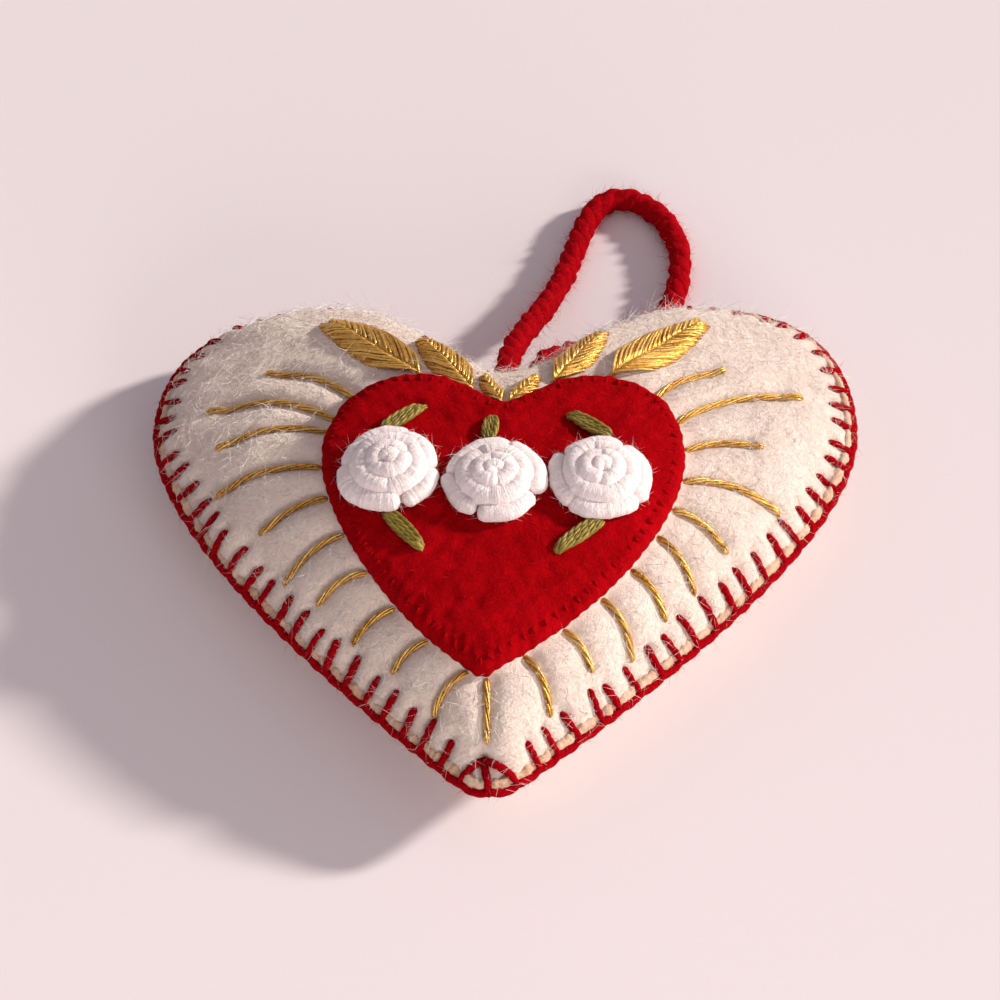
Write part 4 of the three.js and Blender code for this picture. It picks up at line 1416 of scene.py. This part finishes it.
    @classmethod
    def cushion(cls, felt, sizes, centre):
        """A low mound under the petals, so no gap shows the felt: height falls as a half circle."""
        rings, around = cls.CUSHION_GRID
        u = np.linspace(0, 1, rings + 1)[1:]
        angle = np.linspace(0, 2 * math.pi, around, endpoint=False)
        ring = np.stack([np.cos(angle), np.sin(angle)], -1)
        xy = centre + ring[None] * (cls.CUSHION_RADIUS * u)[:, None, None]
        high = cls.CUSHION_HIGH * np.sqrt(np.clip(1 - u ** 2, 0, 1)) - cls.CUSHION_SUNK
        top = felt.place(xy, sizes.red_felt + high[:, None] * MM + np.zeros((1, around)))
        peak = sizes.red_felt + (cls.CUSHION_HIGH - cls.CUSHION_SUNK) * MM
        pole = felt.place(centre[None], np.array([peak]))[0]
        base = sizes.red_felt - cls.CUSHION_UNDER
        under = felt.place(centre[None], np.array([base]))[0]
        points, faces = dome((pole, top), (under, felt.place(xy[-1:], np.full((1, around), base))))
        return points, faces, points / MM


class HEART_OT_rays(bpy.types.Operator):
    """The gold rays round the red heart"""

    bl_idname = "heart.rays"
    bl_label = "Gold Rays"

    SEED = 81
    # Painted glint colour of the gold rays.
    BRIGHT, METAL = (1.0, 0.72, 0.24), 0.72
    DIVE = 0.25
    DIVE_AT, DIVE_LIFT = (0, 0.6, 1.4), (-0.6, 0.3, 0.45)

    def execute(self, context):
        sizes, colours = context.scene.heart_sizes, context.scene.heart_colours
        felt = Felt(sizes, FRONT_BULGE, 1)
        gold = metal_thread_material("ray_gold", colours.gold, colours.gold_deep, self.BRIGHT, self.METAL)
        rng = np.random.default_rng(self.SEED)
        for number, plan in enumerate(ray_paths(), 1):
            ends = plan[[0, -1]] - plan[[2, -3]]
            ends *= RAY_DIP / np.linalg.norm(ends, axis=1, keepdims=True)
            plan = resample(np.concatenate([plan[:1] + ends[:1], plan, plan[-1:] + ends[1:]]), RAY_STEP)
            u = np.linspace(0, 1, len(plan))
            dive = np.minimum(u, 1 - u) * (len(plan) * self.DIVE)
            path = felt.place(plan, np.interp(dive, self.DIVE_AT, self.DIVE_LIFT) * MM)
            bundle = Bundle()
            for part in plied(path, felt.normal(plan), sizes.ray_thread, RAY_PLIES, RAY_PITCH, RAY_SIDES,
                              rng.uniform(0, 6), RAY_TIP, RAY_FULL):
                bundle.add(part, rng.uniform(0, 1))
            dress(bundle.make(f"gold_ray_{number:02d}"), gold, "gold_thread", f"ray_{number:02d}")
        return {"FINISHED"}


class HEART_OT_leaves(bpy.types.Operator):
    """The gold leaves above the red heart and the green leaves beside the roses"""

    bl_idname = "heart.leaves"
    bl_label = "Leaves"

    SEED = 91
    # Painted glint colours of the gold and green leaves, and the painted shade in the green leaves' folds.
    GOLD_BRIGHT, GOLD_METAL = (1.0, 0.66, 0.18), 0.68
    GREEN_DEEP, GREEN_BRIGHT, GREEN_METAL = (0.05, 0.04, 0.005), (0.42, 0.3, 0.035), 0.1
    OUTLINE_POINTS = 240
    ROW_SPACING = 0.62
    SLANT, SLANT_UNEVEN, SLANT_WAVE = 25, 4, 3
    FILAMENT_STEP, FILAMENT_SIDES = 0.4 * MM, 5
    FILAMENT_AT = (0, 0.2, 0.6, 0.9, 1)
    NARROW_AT, NARROW = (0, 0.1, 0.85, 1), (0.4, 1, 1, 0.35)
    STRANDS = (-1.5, -0.5, 0.5, 1.5)
    STRAND_POINTS, STRAND_SPREAD, STRAND_THICK = 36, 0.62 * MM, 0.95 * MM
    STRAND_PLIES, STRAND_PITCH, STRAND_SIDES = 3, 4.2 * MM, 6
    STRAND_AT, STRAND_LIFT = (0, 0.1, 0.85, 1), (0.2, 0.5, 0.5, -0.5)

    def execute(self, context):
        sizes, colours = context.scene.heart_sizes, context.scene.heart_colours
        felt = Felt(sizes, FRONT_BULGE, 1)
        gold = metal_thread_material("leaf_gold", colours.gold, colours.gold_deep, self.GOLD_BRIGHT,
                                     self.GOLD_METAL)
        rng = np.random.default_rng(self.SEED)
        for number, (bearing, heading, (reach, width)) in enumerate(GOLD_LEAVES, 1):
            nearer = SMALL_LEAF_NEARER if reach < SMALL_LEAF_BELOW else LEAF_NEARER
            start = RED_CENTRE + bearing_way(bearing) * (float(RED.reach(bearing * TURN)) + LEAF_GAP - nearer)
            leaf = self.gold_leaf(felt, sizes, start, heading, reach + nearer, width, rng)
            dress(leaf.make(f"gold_leaf_threads_{number}"), gold, "gold_thread", f"gold_leaf_{number}")
        green = metal_thread_material("leaf_green", colours.olive, self.GREEN_DEEP, self.GREEN_BRIGHT,
                                      self.GREEN_METAL)
        for number, (rose, side, heading, (reach, gap)) in enumerate(GREEN_LEAVES, 1):
            start = ROSE_CENTRES[rose] + bearing_way(side) * (ROSE_RADIUS + gap - GREEN_UNDER_ROSE)
            leaf = self.green_leaf(felt, sizes, start, heading, reach + GREEN_UNDER_ROSE, rng)
            dress(leaf.make(f"green_leaf_threads_{number}"), green, "green_thread", f"green_leaf_{number}")
        return {"FINISHED"}

    @classmethod
    def gold_leaf(cls, felt, sizes, start, heading, reach, width, rng):
        """A leaf of slanted filaments: each crosses the vein and runs forward and out to the leaf's edge. The
        edge's half width is the width times sin(pi x^0.8)^0.75 over 2, x being the share along the leaf."""
        way = bearing_way(heading)
        across = left_of(way)
        x = np.linspace(0.01, 1, cls.OUTLINE_POINTS) * reach
        half = 0.5 * width * np.sin(math.pi * (x / reach) ** 0.8) ** 0.75
        blade = LEAF_BLADE * reach
        rows = int(blade / (cls.ROW_SPACING * sizes.leaf_filament))
        bundle = Bundle()
        for row in range(rows):
            for side in (-1, 1):
                vein = (row + rng.uniform(-0.35, 0.35)) / rows * LEAF_BLADE * reach
                slant = cls.SLANT + rng.uniform(-cls.SLANT_UNEVEN, cls.SLANT_UNEVEN)
                slope = math.tan((slant + cls.SLANT_WAVE * math.cos(row * 1.6)) * TURN)
                ahead = x[np.argmax(((x - vein) * slope >= half) & (x > vein))]
                ahead += rng.uniform(-0.35, 0.25) * MM
                begin = start + way * (vein - 0.5 * MM) - across * side * 0.3 * MM
                end = start + way * ahead + across * side * (ahead - vein) * slope
                bow = across * side * 0.07 * np.linalg.norm(end - begin)
                plan = resample(spline([begin, 0.5 * (begin + end) + bow, end], 8), cls.FILAMENT_STEP)
                u = np.linspace(0, 1, len(plan))
                stitch = 0.2 * math.cos(2 * math.pi * row / 4.3) + rng.uniform(-0.12, 0.12)
                lifts = (0.25, 0.95 + stitch, 0.85 + stitch, 0.25, -0.35)
                path = felt.place(plan, np.interp(u, cls.FILAMENT_AT, lifts) * MM)
                # Filaments that stand higher take more of the painted glint colour.
                tone = np.clip(0.42 + 2.2 * stitch + rng.uniform(-0.45, 0.45), 0, 1)
                radius = 0.5 * sizes.leaf_filament * np.interp(u, cls.NARROW_AT, cls.NARROW)
                bundle.add(thread(path, felt.normal(plan), radius, cls.FILAMENT_SIDES), tone)
        bundle.add(leaf_pad(felt, start, way, across, x, half))
        return bundle

    @classmethod
    def green_leaf(cls, felt, sizes, start, heading, reach, rng):
        """Long loose stitches side by side that meet at the leaf's point, each of three strands."""
        way = bearing_way(heading)
        across = left_of(way)
        bundle = Bundle()
        u = np.linspace(0, 1, cls.STRAND_POINTS)
        lifts = np.interp(u, cls.STRAND_AT, cls.STRAND_LIFT) * MM
        for k in cls.STRANDS:
            spread = k * cls.STRAND_SPREAD * np.sin(math.pi * np.clip(0.14 + 0.8 * u, 0, 1)) ** 0.7
            run = reach * (1 - 0.05 * abs(k) + rng.uniform(-0.03, 0.03))
            plan = start + way * (u * run)[:, None] + across * spread[:, None]
            path = felt.place(plan, sizes.red_felt + lifts + rng.uniform(0, 0.2) * MM)
            for part in plied(path, felt.normal(plan), cls.STRAND_THICK, cls.STRAND_PLIES, cls.STRAND_PITCH,
                              cls.STRAND_SIDES, rng.uniform(0, 6), 0.5):
                bundle.add(part, rng.uniform(0, 1))
        return bundle


def leaf_pad(felt, start, way, across, x, half, count=24, narrower=0.8, under=-0.3 * MM):
    """A flat mound under a leaf's filaments, so that no felt shows between them: rings of the leaf's own
    outline drawn in to its middle."""
    pick = np.linspace(0, len(x) - 1, count).round().astype(int)
    along, aside = way * x[pick][:, None], across * (narrower * half[pick])[:, None]
    outline = np.concatenate([start + along + aside, (start + along - aside)[::-1]])[::-1]
    middle = outline.mean(0)
    t = np.array([0.35, 0.7, 1.0])
    heights = np.array([0.5, 0.4, -0.1]) * MM
    xy = middle + (outline - middle)[None] * t[:, None, None]
    top = felt.place(xy, heights[:, None] + np.zeros((1, len(outline))))
    pole = felt.place(middle[None], heights[:1])[0]
    low = felt.place(xy[-1:], np.full((1, len(outline)), under))
    points, faces = dome((pole, top), (felt.place(middle[None], np.array([under]))[0], low))
    return points, faces, points / MM


class HEART_PT_panel(bpy.types.Panel):
    """The heart's sizes, colours and steps"""

    bl_label = "Wool Heart"
    bl_idname = "HEART_PT_panel"
    bl_space_type = "VIEW_3D"
    bl_region_type = "UI"
    bl_category = "Wool Heart"

    def draw(self, context):
        for group in (context.scene.heart_sizes, context.scene.heart_colours, context.scene.heart_fuzz):
            for key in group.__annotations__:
                self.layout.prop(group, key)
        for operator in OPERATORS:
            self.layout.operator(operator.bl_idname)


OPERATORS = (
    HEART_OT_stage,
    HEART_OT_cord,
    HEART_OT_felt,
    HEART_OT_red_heart,
    HEART_OT_stitching,
    HEART_OT_roses,
    HEART_OT_rays,
    HEART_OT_leaves,
)
CLASSES = (HeartSizes, HeartColours, HeartFuzz, *OPERATORS, HEART_PT_panel)


def register():
    for cls in CLASSES:
        bpy.utils.register_class(cls)
    bpy.types.Scene.heart_sizes = PointerProperty(type=HeartSizes)
    bpy.types.Scene.heart_colours = PointerProperty(type=HeartColours)
    bpy.types.Scene.heart_fuzz = PointerProperty(type=HeartFuzz)


def unregister():
    del bpy.types.Scene.heart_fuzz
    del bpy.types.Scene.heart_colours
    del bpy.types.Scene.heart_sizes
    for cls in reversed(CLASSES):
        bpy.utils.unregister_class(cls)


def main():
    register()
    for operator in OPERATORS:
        group, name = operator.bl_idname.split(".")
        getattr(getattr(bpy.ops, group), name)()
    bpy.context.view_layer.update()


if __name__ == "__main__":
    main()
